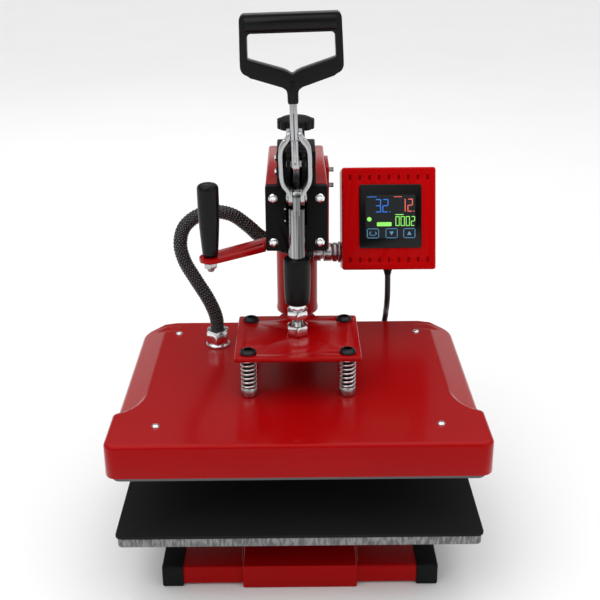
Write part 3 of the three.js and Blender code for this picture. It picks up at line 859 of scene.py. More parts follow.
def raised(
    name: str,
    outline: Sequence[Flat],
    low: float,
    high: float,
    at: Sequence[float] = (0, 0, 0),
    axis: Axis = Axis.Z,
    ease: float = 0.3,
) -> bpy.types.Object:
    """A flat outline extruded along an axis.

    Args:
        name: the piece's name.
        outline: its points in millimetres, in the two axes that follow the extrusion's in X, Y, Z order.
        low: where it starts along the axis, in millimetres.
        high: where it ends.
        at: where the outline's origin goes, in metres.
        axis: the axis that it is extruded along.
        ease: width of the rounding of sharp edges, in millimetres.

    Returns:
        The piece.
    """
    def spot(u: float, v: float, w: float) -> Vector:
        """A point of the outline, raised by w."""
        order = {Axis.X: (w, u, v), Axis.Y: (u, w, v), Axis.Z: (u, v, w)}[axis]
        return Vector(order) * MM + Vector(at)

    piece = drawn(name, [spot(u, v, low) for u, v in outline], faces=[range(len(outline))])
    with editing(piece):
        lift = spot(0, 0, high) - spot(0, 0, low)
        bpy.ops.mesh.extrude_region_move(TRANSFORM_OT_translate={"value": lift})
    closed(piece)
    return eased(piece, ease)


def block(name: str, low: Sequence[float], high: Sequence[float], ease: float = 0.4) -> bpy.types.Object:
    """A block between two corners in metres, with its edges eased by millimetres.

    Args:
        name: the piece's name.
        low: its lowest corner.
        high: its highest corner.
        ease: width of the rounding of its edges.

    Returns:
        The block.
    """
    bpy.ops.object.select_all(action="DESELECT")
    middle = (Vector(low) + Vector(high)) / 2
    bpy.ops.mesh.primitive_cube_add(size=1, location=middle, scale=Vector(high) - Vector(low))
    piece = bpy.context.object
    piece.name = name
    bpy.ops.object.transform_apply(location=True, rotation=True, scale=True)
    return eased(piece, ease)


def refined(node: str, name: str, ease: float = 0.5, steps: int = 2) -> bpy.types.Object:
    """A merged copy of a CAD node with its sharp edges eased, which stands for the node.

    Args:
        node: the CAD node.
        name: the copy's name.
        ease: width of the rounding, in millimetres.
        steps: faces across the rounding.

    Returns:
        The copy.
    """
    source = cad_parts[node]
    piece = bpy.data.objects.new(name, source.data.copy())
    bpy.context.scene.collection.objects.link(piece)
    with editing(piece):
        bpy.ops.mesh.remove_doubles(threshold=1e-6)
        bpy.ops.mesh.dissolve_limited(angle_limit=math.radians(0.6))
    piece.data.materials.clear()
    eased(piece, ease, steps)
    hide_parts(node)
    return piece


def on_circle(radius: float, degrees: float, middle: Flat = (0, 0), flatness: float = 1.0) -> Flat:
    """A point of a circle, or of an ellipse with its second axis shortened.

    Args:
        radius: the circle's radius.
        degrees: the point's angle from the first axis.
        middle: the circle's middle.
        flatness: the second axis's length over the first's.

    Returns:
        The point, in the radius's unit.
    """
    angle = math.radians(degrees)
    return (middle[0] + radius * math.cos(angle), middle[1] + radius * flatness * math.sin(angle))


def hexagon(across: float) -> list[Flat]:
    """The corners of a hexagon that measures across across its flats."""
    radius = across / math.sqrt(3)
    return [on_circle(radius, 30 + 60 * i) for i in range(6)]


def ring_outline(radius: float, steps: int = 48, middle: Flat = (0, 0)) -> list[Flat]:
    """The points of a circle."""
    return [on_circle(radius, 360 * i / steps, middle) for i in range(steps)]


def box_outline(u0: float, v0: float, u1: float, v1: float) -> list[Flat]:
    """The corners of a rectangle."""
    return [(u0, v0), (u1, v0), (u1, v1), (u0, v1)]


def rounded(u0: float, u1: float, v0: float, v1: float, radius: float, steps: int = 6) -> list[Flat]:
    """The outline of a rectangle with round corners.

    Args:
        u0: the left side.
        u1: the right side.
        v0: the lower side.
        v1: the upper side.
        radius: the corners' radius.
        steps: steps in a corner.

    Returns:
        The outline's points.
    """
    left, right, foot, top = u0 + radius, u1 - radius, v0 + radius, v1 - radius
    corners = [(right, foot, -90), (right, top, 0), (left, top, 90), (left, foot, 180)]
    return [
        on_circle(radius, start + 90 * i / steps, (u, v))
        for u, v, start in corners
        for i in range(steps + 1)
    ]


def fluted(radius: float, flutes: int, depth: float, sharpness: int) -> list[Flat]:
    """The outline of a round knob with flutes in it.

    Args:
        radius: the knob's radius.
        flutes: how many flutes there are.
        depth: their depth.
        sharpness: a higher power makes them narrower.

    Returns:
        The outline's points.
    """
    outline = []
    for i in range(flutes * 12):
        angle = 360 * i / (flutes * 12)
        dip = max(0.0, math.cos(math.radians(flutes * angle))) ** sharpness
        outline.append(on_circle(radius - depth * dip, angle))
    return outline


def nut(name: str, across: float, low: float, high: float, hole: float) -> bpy.types.Object:
    """A hexagon nut along Z at the origin, with its corners turned off and a countersunk hole.

    Args:
        name: the piece's name.
        across: its size across the flats, in millimetres.
        low: where it starts along Z.
        high: where it ends.
        hole: the hole's radius.

    Returns:
        The nut.
    """
    radius = across / math.sqrt(3)
    piece = raised(name, hexagon(across), low, high, ease=0)
    chamfer = (radius - across / 2) * 0.62
    mould = turned(
        "mould",
        [
            (hole, low + 0.6),
            (hole + 0.8, low),
            (across / 2 - 0.3, low),
            (radius + 0.01, low + chamfer),
            (radius + 0.01, high - chamfer),
            (across / 2 - 0.3, high),
            (hole + 0.8, high),
            (hole, high - 0.6),
            (hole, low + 0.6),
        ],
        ease=0,
    )
    bored(piece, mould, operation="INTERSECT")
    return eased(piece, 0.15, 1)


def threaded(radius: float, low: float, high: float, pitch: float = 1.5) -> list[Flat]:
    """The zigzag profile of a thread, from its low end to its high end.

    Args:
        radius: the thread's outer radius, in millimetres.
        low: where it starts.
        high: where it ends.
        pitch: the wished distance between its crests.

    Returns:
        Radius and height of each point.
    """
    count = max(1, round((high - low) / pitch))
    step = (high - low) / count
    points = []
    for i in range(count):
        points += [(radius - pitch * 0.35, low + i * step), (radius, low + (i + 0.5) * step)]
    return [*points, (radius - pitch * 0.35, high)]


def smooth_route(points: Sequence[Point], step: float) -> list[Vector]:
    """A smooth curve through points.

    Args:
        points: what it passes through, in metres.
        step: the distance between the points that come back.

    Returns:
        Points along a centripetal curve.
    """
    knots = [Vector(point) for point in points]
    knots = [knots[0] * 2 - knots[1], *knots, knots[-1] * 2 - knots[-2]]
    found = []
    for a, b, c, d in zip(knots, knots[1:], knots[2:], knots[3:]):
        t1 = (b - a).length ** 0.5
        t2 = t1 + (c - b).length ** 0.5
        t3 = t2 + (d - c).length ** 0.5
        count = max(1, round((c - b).length / step))
        for i in range(count):
            t = t1 + (t2 - t1) * i / count
            ab = a.lerp(b, t / t1)
            bc = b.lerp(c, (t - t1) / (t2 - t1))
            cd = c.lerp(d, (t - t2) / (t3 - t2))
            abc = ab.lerp(bc, t / t2)
            bcd = bc.lerp(cd, (t - t1) / (t3 - t1))
            found.append(abc.lerp(bcd, (t - t1) / (t2 - t1)))
    return [*found, knots[-2]]


def swept(
    name: str, route: Sequence[Vector], radius: Callable[[float], float], sides: int = 20
) -> bpy.types.Object:
    """A round section swept along a route, with a UV map of its turns and its length.

    Args:
        name: the piece's name.
        route: close points along the middle of the sweep, in metres.
        radius: gives the section's radius at a distance along the route, both in metres.
        sides: faces round the section.

    Returns:
        The piece, closed at both ends.
    """
    points, lengths = [], [0.0]
    for start, end in zip(route, route[1:]):
        lengths.append(lengths[-1] + (end - start).length)
    heading = (route[1] - route[0]).normalized()
    side = heading.orthogonal().normalized()
    for i, (spot, length) in enumerate(zip(route, lengths)):
        ahead = (route[min(i + 1, len(route) - 1)] - route[max(i - 1, 0)]).normalized()
        side = heading.rotation_difference(ahead) @ side
        side = (side - ahead * side.dot(ahead)).normalized()
        heading = ahead
        across = ahead.cross(side)
        reach = radius(length)
        for k in range(sides):
            angle = 2 * math.pi * k / sides
            points.append(spot + (side * math.cos(angle) + across * math.sin(angle)) * reach)
    marks = []
    for near, far in zip(lengths, lengths[1:]):
        for k in range(sides):
            turn, turned_on = k / sides, (k + 1) / sides
            marks += [(turn, near), (turned_on, near), (turned_on, far), (turn, far)]
    marks += [(0, 0)] * sides + [(0, lengths[-1])] * sides
    piece = drawn(name, points, faces=ring_faces(len(route), sides))
    layer = piece.data.uv_layers.new(name="sweep")
    for loop, mark in zip(layer.data, marks):
        loop.uv = mark
    alone(piece)
    bpy.ops.object.shade_smooth_by_angle(angle=math.radians(60))
    return piece


def weld_bead(name: str, route: Sequence[Vector], radius: float) -> bpy.types.Object:
    """A weld bead along a route: overlapping ripples of a radius in millimetres."""
    ripple = 2.2 * MM
    return swept(name, route, lambda s: radius * MM * (0.86 + 0.14 * abs(math.sin(s * math.pi / ripple))), 10)


def weld_ring(name: str, middle: Vector, radius: float) -> bpy.types.Object:
    """A weld bead all round the column or the sleeve.

    Args:
        name: the piece's name.
        middle: the ring's middle, in metres.
        radius: the bead's radius.

    Returns:
        The bead.
    """
    route = [middle + Vector((*on_circle(26.2 * MM, 3 * i), 0)) for i in range(121)]
    return weld_bead(name, route, radius)


def hex_head(across: float, high: float) -> bpy.types.Object:
    """A small hexagon head along Z at the origin.

    Args:
        across: its size across the flats, in millimetres.
        high: its height.

    Returns:
        The head.
    """
    head = nut("head", across, 0, high, 0.6)
    radius = across * 0.4
    cap = turned("cap", [(0, 0.2), (radius, 0.2), (radius, high - 0.2), (0, high - 0.2)], ease=0)
    return joined("head", head, cap)


def hex_bolt(
    name: str, across: float, high: float, at: Sequence[float], axis: Axis = Axis.Z
) -> bpy.types.Object:
    """A hexagon bolt's head on its washer, at a place on a face.

    Args:
        name: the piece's name.
        across: the head's size across the flats, in millimetres.
        high: the head's height.
        at: its place on the face, in metres.
        axis: the axis that it lies along.

    Returns:
        The bolt.
    """
    head = nut(name, across, 1.2, high + 1.2, 1.0)
    washer = turned("washer", [(0, 0), (across * 0.78, 0), (across * 0.78, 1.2), (0, 1.2)], ease=0.2)
    radius = across * 0.42
    cap = turned("cap", [(0, 1), (radius, 1), (radius, high + 0.9), (0, high + 0.9)], ease=0)
    return laid(joined(name, head, washer, cap), axis, Vector(at))


def socket_bolt(
    name: str, radius: float, high: float, at: Sequence[float], axis: Axis = Axis.Z, flip: bool = False
) -> bpy.types.Object:
    """A button head with a hexagon socket, rising from a face.

    Args:
        name: the piece's name.
        radius: the head's radius in millimetres.
        high: the head's height in millimetres.
        at: its place on the face, in metres.
        axis: the axis that it rises along.
        flip: makes it rise towards the axis's low end.

    Returns:
        The bolt's head.
    """
    shoulder = (0, high * 0.3)
    dome = [(0, 0), (radius, 0), (radius, high * 0.3)]
    dome += [on_circle(radius, a, shoulder, high * 0.7 / radius) for a in range(15, 76, 15)]
    head = turned(name, [*dome, (0, high)], ease=0, steps=40)
    socket = raised("socket", hexagon(radius * 0.95), high * 0.35, high + 1, ease=0)
    bored(head, socket)
    if flip:
        head.data.transform(Matrix.Rotation(math.pi, 4, "X"))
    return eased(laid(head, axis, Vector(at)), 0.12, 1)


def dressed(
    piece: bpy.types.Object, finish: Finish, body: Body, stands_for: Sequence[str] = ()
) -> bpy.types.Object:
    """Finishes a piece and sets it to ride.

    Args:
        piece: the piece, in its place.
        finish: what it is dressed in.
        body: the CAD body that it moves with.
        stands_for: the CAD nodes that it takes the place of.

    Returns:
        The piece.
    """
    piece.data.materials.clear()
    piece.data.materials.append(made(finish))
    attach(piece, body.value)
    if stands_for:
        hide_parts(*stands_for)
    LOG.info("%s rides on %s in %s", piece.name, body.value, finish.name)
    return piece


def painted(node: str, finish: Finish) -> None:
    """Dresses a CAD node that is shown as it is.

    Args:
        node: the CAD node.
        finish: what it is dressed in.
    """
    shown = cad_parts[node]
    for place in shown.material_slots:
        place.material = made(finish)
    LOG.info("%s is dressed in %s", node, finish.name)


# ---------------------------------------------------------------- places shared by the sub-assemblies
PLATEN_Y = Span.of("silicone_pad").middle.y
LEAN_BACK = math.radians(-18)
LEAN_HINGE = (0, 130, 342.5)


def on_machine(points: Iterable[Point]) -> list[Vector]:
    """Points measured in millimetres from the platen's middle, as points of the frame."""
    return [Vector((x * MM, y * MM + PLATEN_Y, z * MM)) for x, y, z in points]


def leaned_back(piece: bpy.types.Object) -> bpy.types.Object:
    """Leans a piece drawn on the upright control box back with it.

    Args:
        piece: the piece, drawn as if the box stood upright.

    Returns:
        The piece.
    """
    hinge = Matrix.Translation(on_machine([LEAN_HINGE])[0])
    piece.data.transform(hinge @ Matrix.Rotation(LEAN_BACK, 4, "X") @ hinge.inverted())
    return piece


# ---------------------------------------------------------------- camera and studio
@dataclass
class Studio:
    """Camera, pale floor and soft lights."""

    lens: float = 61.14
    place: Point = (-0.0004, -1.053, 0.7074)
    pitch: float = 21.95
    yaw: float = -0.18
    roll: float = -0.47
    floor_half: float = 14.0
    sky_stops: tuple[Flat, ...] = ((0.0, 0.85), (0.15, 0.75), (0.23, 0.14), (0.42, 0.14), (0.95, 1.9))
    sky_strength: float = 0.9
    aim: Point = (0, 0, 0.25)
    lights: tuple[tuple[str, Point, float, float], ...] = (
        ("key_light", (-1.5, -1.7, 2.3), 2.2, 20),
        ("fill_light", (1.9, -1.5, 1.5), 1.8, 9),
        ("top_light", (0.1, 0.4, 2.9), 1.6, 9),
        ("rear_light", (-0.6, 2.2, 1.7), 1.4, 4),
    )

    def build(self) -> None:
        """Makes the camera, the floor, the lights and the sky."""
        bpy.context.scene.view_settings.view_transform = "Standard"
        self.camera()
        self.floor()
        self.sky()
        for light in self.lights:
            self.soft_light(*light)

    def camera(self) -> None:
        """The camera, in front of the machine and a little above it."""
        data = bpy.data.cameras.new("camera")
        data.lens = self.lens
        data.sensor_width = 36
        camera = bpy.data.objects.new("camera", data)
        turn = (
            Matrix.Rotation(math.radians(self.yaw), 4, "Z")
            @ Matrix.Rotation(math.radians(90 - self.pitch), 4, "X")
            @ Matrix.Rotation(math.radians(self.roll), 4, "Z")
        )
        camera.matrix_world = Matrix.Translation(self.place) @ turn
        bpy.context.scene.collection.objects.link(camera)
        bpy.context.scene.camera = camera

    def floor(self) -> None:
        """A plain pale floor."""
        half = self.floor_half
        corners = [(-half, -half, 0), (half, -half, 0), (half, half, 0), (-half, half, 0)]
        floor = drawn("floor", corners, faces=[(0, 1, 2, 3)])
        graph = Graph("pale_floor")
        cloud = graph.noise(2)
        graph.set(
            Base_Color=graph.mix(cloud, (0.86, 0.86, 0.86), (0.9, 0.9, 0.9)),
            Roughness=0.8,
            Specular_IOR_Level=0.2,
        )
        floor.data.materials.append(graph.material)
        floor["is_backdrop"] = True

    def sky(self) -> None:
        """Even studio surroundings, lighter overhead."""
        world = bpy.data.worlds.new("studio")
        world.use_nodes = True
        nodes, links = world.node_tree.nodes, world.node_tree.links
        spot = nodes.new("ShaderNodeTexCoord")
        split = nodes.new("ShaderNodeSeparateXYZ")
        ramp = nodes.new("ShaderNodeValToRGB")
        set_stops(ramp, self.sky_stops)
        links.new(spot.outputs["Generated"], split.inputs[0])
        links.new(split.outputs["Z"], ramp.inputs[0])
        links.new(ramp.outputs[0], nodes["Background"].inputs["Color"])
        nodes["Background"].inputs["Strength"].default_value = self.sky_strength
        bpy.context.scene.world = world

    def soft_light(self, name: str, place: Point, size: float, power: float) -> None:
        """A square soft box that faces the machine.

        Args:
            name: the light's name.
            place: where it hangs, in metres.
            size: its side.
            power: its power in watts.
        """
        data = bpy.data.lights.new(name, "AREA")
        data.size = size
        data.energy = power
        light = bpy.data.objects.new(name, data)
        light.location = place
        light.visible_glossy = place[1] < 0
        beam = Vector(self.aim) - Vector(place)
        light.rotation_euler = beam.to_track_quat("-Z", "Y").to_euler()
        bpy.context.scene.collection.objects.link(light)


# ---------------------------------------------------------------- mains lead
@dataclass
class MainsLead:
    """The lead from the control box to its coil and plug behind the machine."""

    diameter: float = 7.0
    coil: Flat = (52, 270)
    turn_radii: tuple[float, ...] = (42.5, 35.5, 35.5, 42.5)
    turn_heights: tuple[float, ...] = (3.8, 3.8, 10.6, 10.6)
    leave_angle: float = 110.0
    plug_tail: Point = (5.6, 298.3, 9.5)
    relief_foot: Point = (112, 175, 274.8)
    relief_height: float = 7.7
    bend_start: float = 0.235
    bend_end: float = 0.110
    route: tuple[Point, ...] = (
        (112, 152.7, 266.6),
        (112, 149.2, 256),
        (112, 147.8, 247),
        (112, 148.3, 237),
        (112, 151.5, 228),
        (112.2, 157.5, 219.5),
        (112.4, 165, 212),
        (112.5, 169.4, 207),
        (112.5, 171, 203),
        (110, 177, 180),
        (106, 188, 148),
        (102, 198, 116),
        (98.5, 206, 84),
        (96, 211, 56),
        (95, 215, 37),
        (94.6, 222, 20),
        (94.5, 231, 9),
        (94.5, 240, 4.6),
        (94.5, 252, 3.8),
    )

    def build(self) -> None:
        """Makes the lead, its plug and its strain relief."""
        gland = self.strain_relief()
        plug = self.plug()
        route = smooth_route(on_machine([*self.route, *self.turns(), *self.tail()]), 2.5 * MM)
        lead = swept("mains_lead", route, lambda _: self.diameter / 2 * MM, 14)
        lead.data.materials.append(made(CABLE))
        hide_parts("lead_drop", "lead_run", "lead_coil")
        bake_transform(lead)
        length = sum((b - a).length for a, b in zip(route, route[1:]))
        LOG.info("mains_lead is %.3f m long", length)
        tuple(route[0])

    def turns(self) -> Iterator[Point]:
        """The coil's turns, beside and on each other a diameter apart.

        Yields:
            The route's points, in millimetres from the platen's middle.
        """
        steps = 20
        count = len(self.turn_radii)
        last = round((count - 1) * steps + steps * self.leave_angle / 360)
        for i in range(1, last + 1):
            lap, part = divmod(i / steps, 1)
            lap = int(lap)
            share = max(0.0, (part - 0.7) / 0.3) if lap < count - 1 else 0.0
            share = share * share * (3 - 2 * share)
            after = min(lap + 1, count - 1)
            radius = self.turn_radii[lap] * (1 - share) + self.turn_radii[after] * share
            height = self.turn_heights[lap] * (1 - share) + self.turn_heights[after] * share
            yield (*on_circle(radius, 360 * i / steps, self.coil), height)

    def tail(self) -> Iterator[Point]:
        """The straight stretch from the coil to the plug.

        Yields:
            The route's points, in millimetres from the platen's middle.
        """
        place = on_circle(self.turn_radii[-1], self.leave_angle, self.coil)
        start = Vector((*place, self.turn_heights[-1]))
        for share in (0.3, 0.65, 0.99):
            yield tuple(start.lerp(Vector(self.plug_tail), share))

    def strain_relief(self) -> bpy.types.Object:
        """The tapered, ribbed relief under the control box.

        Returns:
            The relief, in its place.
        """
        height = self.relief_height
        profile = [(0, 0), (3.9, 0), (4.1, 0.8)]
        for low, radius in ((1.6, 4.7), (3.7, 5.2)):
            groove = radius - 0.6
            profile += [(groove, low), (groove, low + 0.7), (radius, low + 0.9), (radius, low + 1.7)]
        profile += [(5.55, height - 1.8), (5.55, height), (0, height)]
        piece = turned("lead_strain_relief", profile, on_machine([self.relief_foot])[0], ease=0.15)
        return dressed(leaned_back(piece), BLACK, Body.ARM, ["lead_gland"])

    def plug(self) -> bpy.types.Object:
        """The moulded three-pin plug, lying on its back."""
        body = refined("plug", "plug_body", 1.4, 3)
        return dressed(body, BLACK, Body.BASE)


# ---------------------------------------------------------------- base
@dataclass
class Base:
    """Crossbars with boots, the folded beam, the column, the pedestal and the lower platen."""

    foot_bolt: float = 13.0
    foot_bolts: tuple[Flat, ...] = ((-36, 156), (36, 156), (-36, 197), (36, 197))

    def build(self) -> None:
        """Makes every piece of the base."""
        for bar in ("front_crossbar", "rear_crossbar"):
            dressed(refined(bar, f"{bar}_tube", 0.5), DARK_RED, Body.BASE)
            self.end_welds(bar)
        for end in ("front_left", "front_right", "rear_left", "rear_right"):
            boot = refined(f"{end}_boot", f"{end}_cap", 0.8, 3)
            dressed(boot, BOOT, Body.BASE)
        dressed(refined("centre_beam", "folded_beam", 0.7, 3), DARK_RED, Body.BASE)
        self.column()
        self.pedestal()
        self.platen()

    def end_welds(self, bar: str) -> None:
        """Weld beads where the beam's sides meet a crossbar.

        Args:
            bar: the crossbar's CAD node.
        """
        beam, tube = Span.of("centre_beam"), Span.of(bar)
        beads = []
        for x in (beam.low.x - 0.0006, beam.high.x + 0.0006):
            route = [
                Vector((x, y, tube.high.z + 0.0006))
                for y in (tube.low.y + 0.006 + i * 0.001 for i in range(30))
            ]
            beads.append(weld_bead("bead", route, 1.4))
        dressed(joined(f"{bar}_welds", *beads), DARK_RED, Body.BASE)

    def column(self) -> None:
        """The column with its foot, weld and bolts, and the shaft in it."""
        place = Span.of("swing_column")
        height = place.size.z / MM
        shaft = Span.of("swing_shaft")
        bore = shaft.size.x / 2 / MM + 0.3
        axis = Vector((shaft.middle.x, shaft.middle.y, place.low.z))
        tube = turned(
            "column_tube",
            [(bore, 5), (25, 5), (25, height - 1.5), (23.5, height), (bore, height), (bore, 5)],
            axis,
            steps=96,
            ease=0,
        )
        corners = [(-45, 0), (45, 0), (45, 57), (-45, 57)]
        plate = raised("column_foot", corners, 0, 6, (axis.x, place.low.y, place.low.z), ease=0)
        plate = bored(plate, raised("bore", ring_outline(bore), -5, 20, axis, ease=0))
        column = joined("swing_column_tube", tube, eased(plate, 1.0, 3))
        dressed(column, RED, Body.BASE, ["swing_column"])
        weld = weld_ring("column_weld", axis + Vector((0, 0, 6.2 * MM)), 1.9)
        dressed(weld, RED, Body.BASE)
        radius, top = shaft.size.x / 2 / MM, shaft.size.z / MM
        rod = [(0, 0), (radius - 1, 0), (radius, 1), (radius, top - 1), (radius - 1, top), (0, top)]
        piece = turned("shaft_rod", rod, shaft.foot, ease=0)
        dressed(piece, CHROME, Body.BASE, ["swing_shaft"])
        bolts = []
        for x, y in self.foot_bolts:
            at = Vector((x * MM, y * MM + PLATEN_Y, place.low.z + 0.006))
            bolts.append(hex_bolt("bolt", self.foot_bolt, 5.0, at))
        dressed(joined("column_bolts", *bolts), ZINC, Body.BASE)

    def pedestal(self) -> None:
        """The welded post under the lower platen, with the bolts through its foot."""
        post = refined("platen_pedestal", "pedestal_post", 0.7)
        dressed(post, DARK_RED, Body.BASE)
        place = Span.of("platen_pedestal")
        bolts = [
            hex_bolt("bolt", self.foot_bolt, 5, (x * MM, PLATEN_Y + y * MM, place.low.z + 0.005))
            for x in (-42, 42)
            for y in (-42, 42)
        ]
        dressed(joined("pedestal_bolts", *bolts), ZINC, Body.BASE)

    def platen(self) -> None:
        """The lower platen and the silicone pad on it."""
        dressed(refined("lower_platen", "platen_plate", 0.5), CAST, Body.BASE)
        place = Span.of("silicone_pad")
        half = place.size / 2 / MM
        outline = rounded(-half.x, half.x, -half.y, half.y, 7)
        pad = raised("silicone_mat", outline, 0, place.size.z / MM, place.foot, ease=0.9)
        dressed(pad, FOAM, Body.BASE, ["silicone_pad"])


# ---------------------------------------------------------------- swing arm
@dataclass
class SwingArm:
    """The sleeve, the hollow arm, its front guide plate, the grip and the conduit."""

    guide_bolts: tuple[Flat, ...] = ((-25, 402), (25, 402), (-25, 352.5), (25, 352.5))
    set_screws: tuple[float, ...] = (389.7, 376.6)
    bracket_bolts: tuple[float, ...] = (399, 380)
    conduit_radius: float = 7.8
    rib_pitch: float = 3.5
    conduit_route: tuple[Point, ...] = (
        (-95, 80, 222.6),
        (-96, 80, 240),
        (-104, 80, 262),
        (-118, 81, 287),
        (-130, 82, 310),
        (-134, 83, 330),
        (-129, 85, 349),
        (-114, 87, 362),
        (-94, 89, 366.5),
        (-74, 91, 362),
        (-56, 93, 348),
        (-43, 98, 334),
        (-27, 110, 322),
        (-12, 126, 310),
        (2, 139, 300.5),
        (11, 144.7, 297.3),
        (19.4, 145, 297),
    )

    def build(self) -> None:
        """Makes every piece of the arm."""
        self.sleeve()
        dressed(refined("arm_box", "arm_shell", 0.9, 3), RED, Body.ARM)
        self.guide()
        self.bracket()
        self.grip()
        self.conduit()

    def sleeve(self) -> None:
        """The sleeve that turns on the shaft, with its lower rim and the weld under the arm."""
        place = Span.of("swing_sleeve")
        top = place.size.z / MM
        profile = [
            (12.4, 124), (12.4, 108), (20, 104), (20, 24), (12.4, 20), (12.4, 0), (24.6, 0), (26.2, 1.6),
            (26.3, 5.5), (25.5, 8), (25.5, top), (12.4, top), (12.4, 124),
        ]
        tube = turned("sleeve_tube", profile, place.foot, steps=96, ease=0.3)
        dressed(tube, RED, Body.ARM, ["swing_sleeve"])
        under = Span.of("arm_box").low.z
        weld = weld_ring("sleeve_weld", Vector((place.middle.x, place.middle.y, under - 0.8 * MM)), 1.7)
        dressed(weld, RED, Body.ARM)

    def guide(self) -> None:
        """The black guide plate with its bolts and set screws."""
        place = Span.of("guide_plate")
        front = place.low.y
        face = refined("guide_plate", "guide_face", 0.6, 2)
        for side in (-1, 1):
            near, far = (side * 8.8 * MM, side * 13 * MM)
            low = (min(near, far), front - 0.002, place.low.z - 0.002)
            high = (max(near, far), place.high.y + 0.002, Span.of("arm_box").low.z - 0.0004)
            bored(face, block("trim", low, high, 0))
        dressed(face, BLACK_PAINT, Body.ARM)
        for i, (x, z) in enumerate(self.guide_bolts, 1):
            bolt = socket_bolt(f"guide_bolt_{i}", 5.3, 3.6, (x * MM, front, z * MM), Axis.Y, flip=True)
            dressed(bolt, CHROME, Body.ARM)
        screws = [
            socket_bolt("screw", 1.2, 0.8, (-12.3 * MM, front, z * MM), Axis.Y, flip=True)
            for z in self.set_screws
        ]
        dressed(joined("guide_set_screws", *screws), ZINC, Body.ARM)

    def bracket(self) -> None:
        """The box's bracket, its bolt ends and the wiring nipples."""
        dressed(refined("box_bracket", "bracket_plate", 0.6), RED, Body.ARM)
        place = Span.of("box_bracket")
        for i, z in enumerate(self.bracket_bolts, 1):
            at = Vector((place.high.x, PLATEN_Y + 150 * MM, z * MM))
            shank = turned(
                "shank", [(0, 0), *threaded(2.9, 0.2, 6.4, 1.0), (0, 6.4)], at, Axis.X, steps=24, ease=0
            )
            ring = turned("ring", [(0, 0), (4.6, 0), (4.6, 1), (0, 1)], at, Axis.X, steps=32)
            dressed(joined(f"bracket_bolt_{i}", shank, ring), ZINC, Body.ARM)
        nipple = Span.of("box_nipple")
        axis = Vector((0, nipple.middle.y, nipple.middle.z))
        right = Span.of("control_box").low.x / MM - 0.3
        body = turned(
            "body",
            [
                (0, 31.5), (8, 31.5), (8, 32.2), (10.4, 32.2), (11.2, 33.2), (11.2, 41), (10.4, 43.2),
                (8, 43.2), (8, right + 10.3), (0, right + 10.3),
            ],
            axis, Axis.X, steps=48,
        )
        lock = laid(nut("lock", 22.4, right - 4.2, right, 8.2), Axis.X, axis)
        flats = laid(nut("flats", 20.5, 43.1, right - 4.4, 8.2), Axis.X, axis)
        dressed(joined("wiring_nipple", body, flats, lock), ZINC, Body.ARM, ["box_nipple"])
        dressed(refined("arm_gland", "arm_gland_body", 0.3), ZINC, Body.ARM)

    def grip(self) -> None:
        """The forked bar, the bolt and the grip that turns on it."""
        dressed(refined("grip_bar", "forked_bar", 0.9, 3), RED, Body.ARM)
        place = Span.of("grip_bolt")
        axis = Vector((place.middle.x, place.middle.y, 0))
        low, high = place.low.z / MM, place.high.z / MM
        shank = turned(
            "shank",
            [(0, low), (3.2, low), *threaded(4, low + 0.6, low + 12), (4, high), (0, high)],
            axis, steps=32, ease=0,
        )
        holder = laid(nut("holder", 13, 333.5, 339.5, 4.1), Axis.Z, axis)
        section = [(4.2, 339.6), (7.4, 339.6), (7.4, 340.7), (4.2, 340.7), (4.2, 339.6)]
        washer = turned("washer", section, axis)
        dressed(joined("grip_bolt_and_nut", shank, holder, washer), ZINC, Body.ARM, ["grip_bolt"])
        grip = Span.of("swing_grip")
        high = grip.size.z / MM
        profile = [(0, high - 8), (4.4, high - 8), (4.4, 0), (7.2, 0), (7.7, 0.6), (8.4, 3)]
        profile += [
            (8.4 + 2.95 * math.sin(math.pi / 2 * i / 8), 3 + (high - 22) * i / 8) for i in range(1, 9)
        ]
        profile += [(11.35, high - 6.5)]
        profile += [on_circle(6, a, (5.35, high - 5), 5 / 6) for a in range(15, 91, 15)]
        profile += [(4, high - 0.1), (3.4, high - 0.5), (0, high - 0.5)]
        handle = turned("spinning_grip", profile, grip.foot, steps=64, ease=0)
        dressed(handle, GRIP, Body.GRIP, ["swing_grip"])

    def conduit(self) -> None:
        """The ribbed conduit in two lengths, the rising one and the falling one."""
        route = smooth_route(on_machine(self.conduit_route), 0.58 * MM)
        top = max(range(len(route)), key=lambda i: route[i].z)

        def rib(length: float) -> float:
            """The conduit's radius at a distance along it, both in metres."""
            wave = abs(math.sin(math.pi * length / (self.rib_pitch * MM)))
            return (self.conduit_radius - 0.5 + 0.9 * wave ** 0.7) * MM

        rising = swept("conduit_rising", route[: top + 1], rib, 28)
        rising.data.materials.append(made(HOSE))
        low = Span.of("head_gland").high.z
        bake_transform(rising)
        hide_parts("conduit")
        LOG.info("conduit_rising bends between carriage and swing_arm in %s", HOSE.name)
        falling = swept("conduit_falling", route[top:], rib, 28)
        dressed(falling, HOSE, Body.ARM)


# ---------------------------------------------------------------- control box
class Digit(Enum):
    """Which of the seven segments a digit lights, from the top clockwise, the middle last."""

    ZERO = "abcdef"
    ONE = "bc"
    TWO = "abdeg"
    THREE = "abcdg"


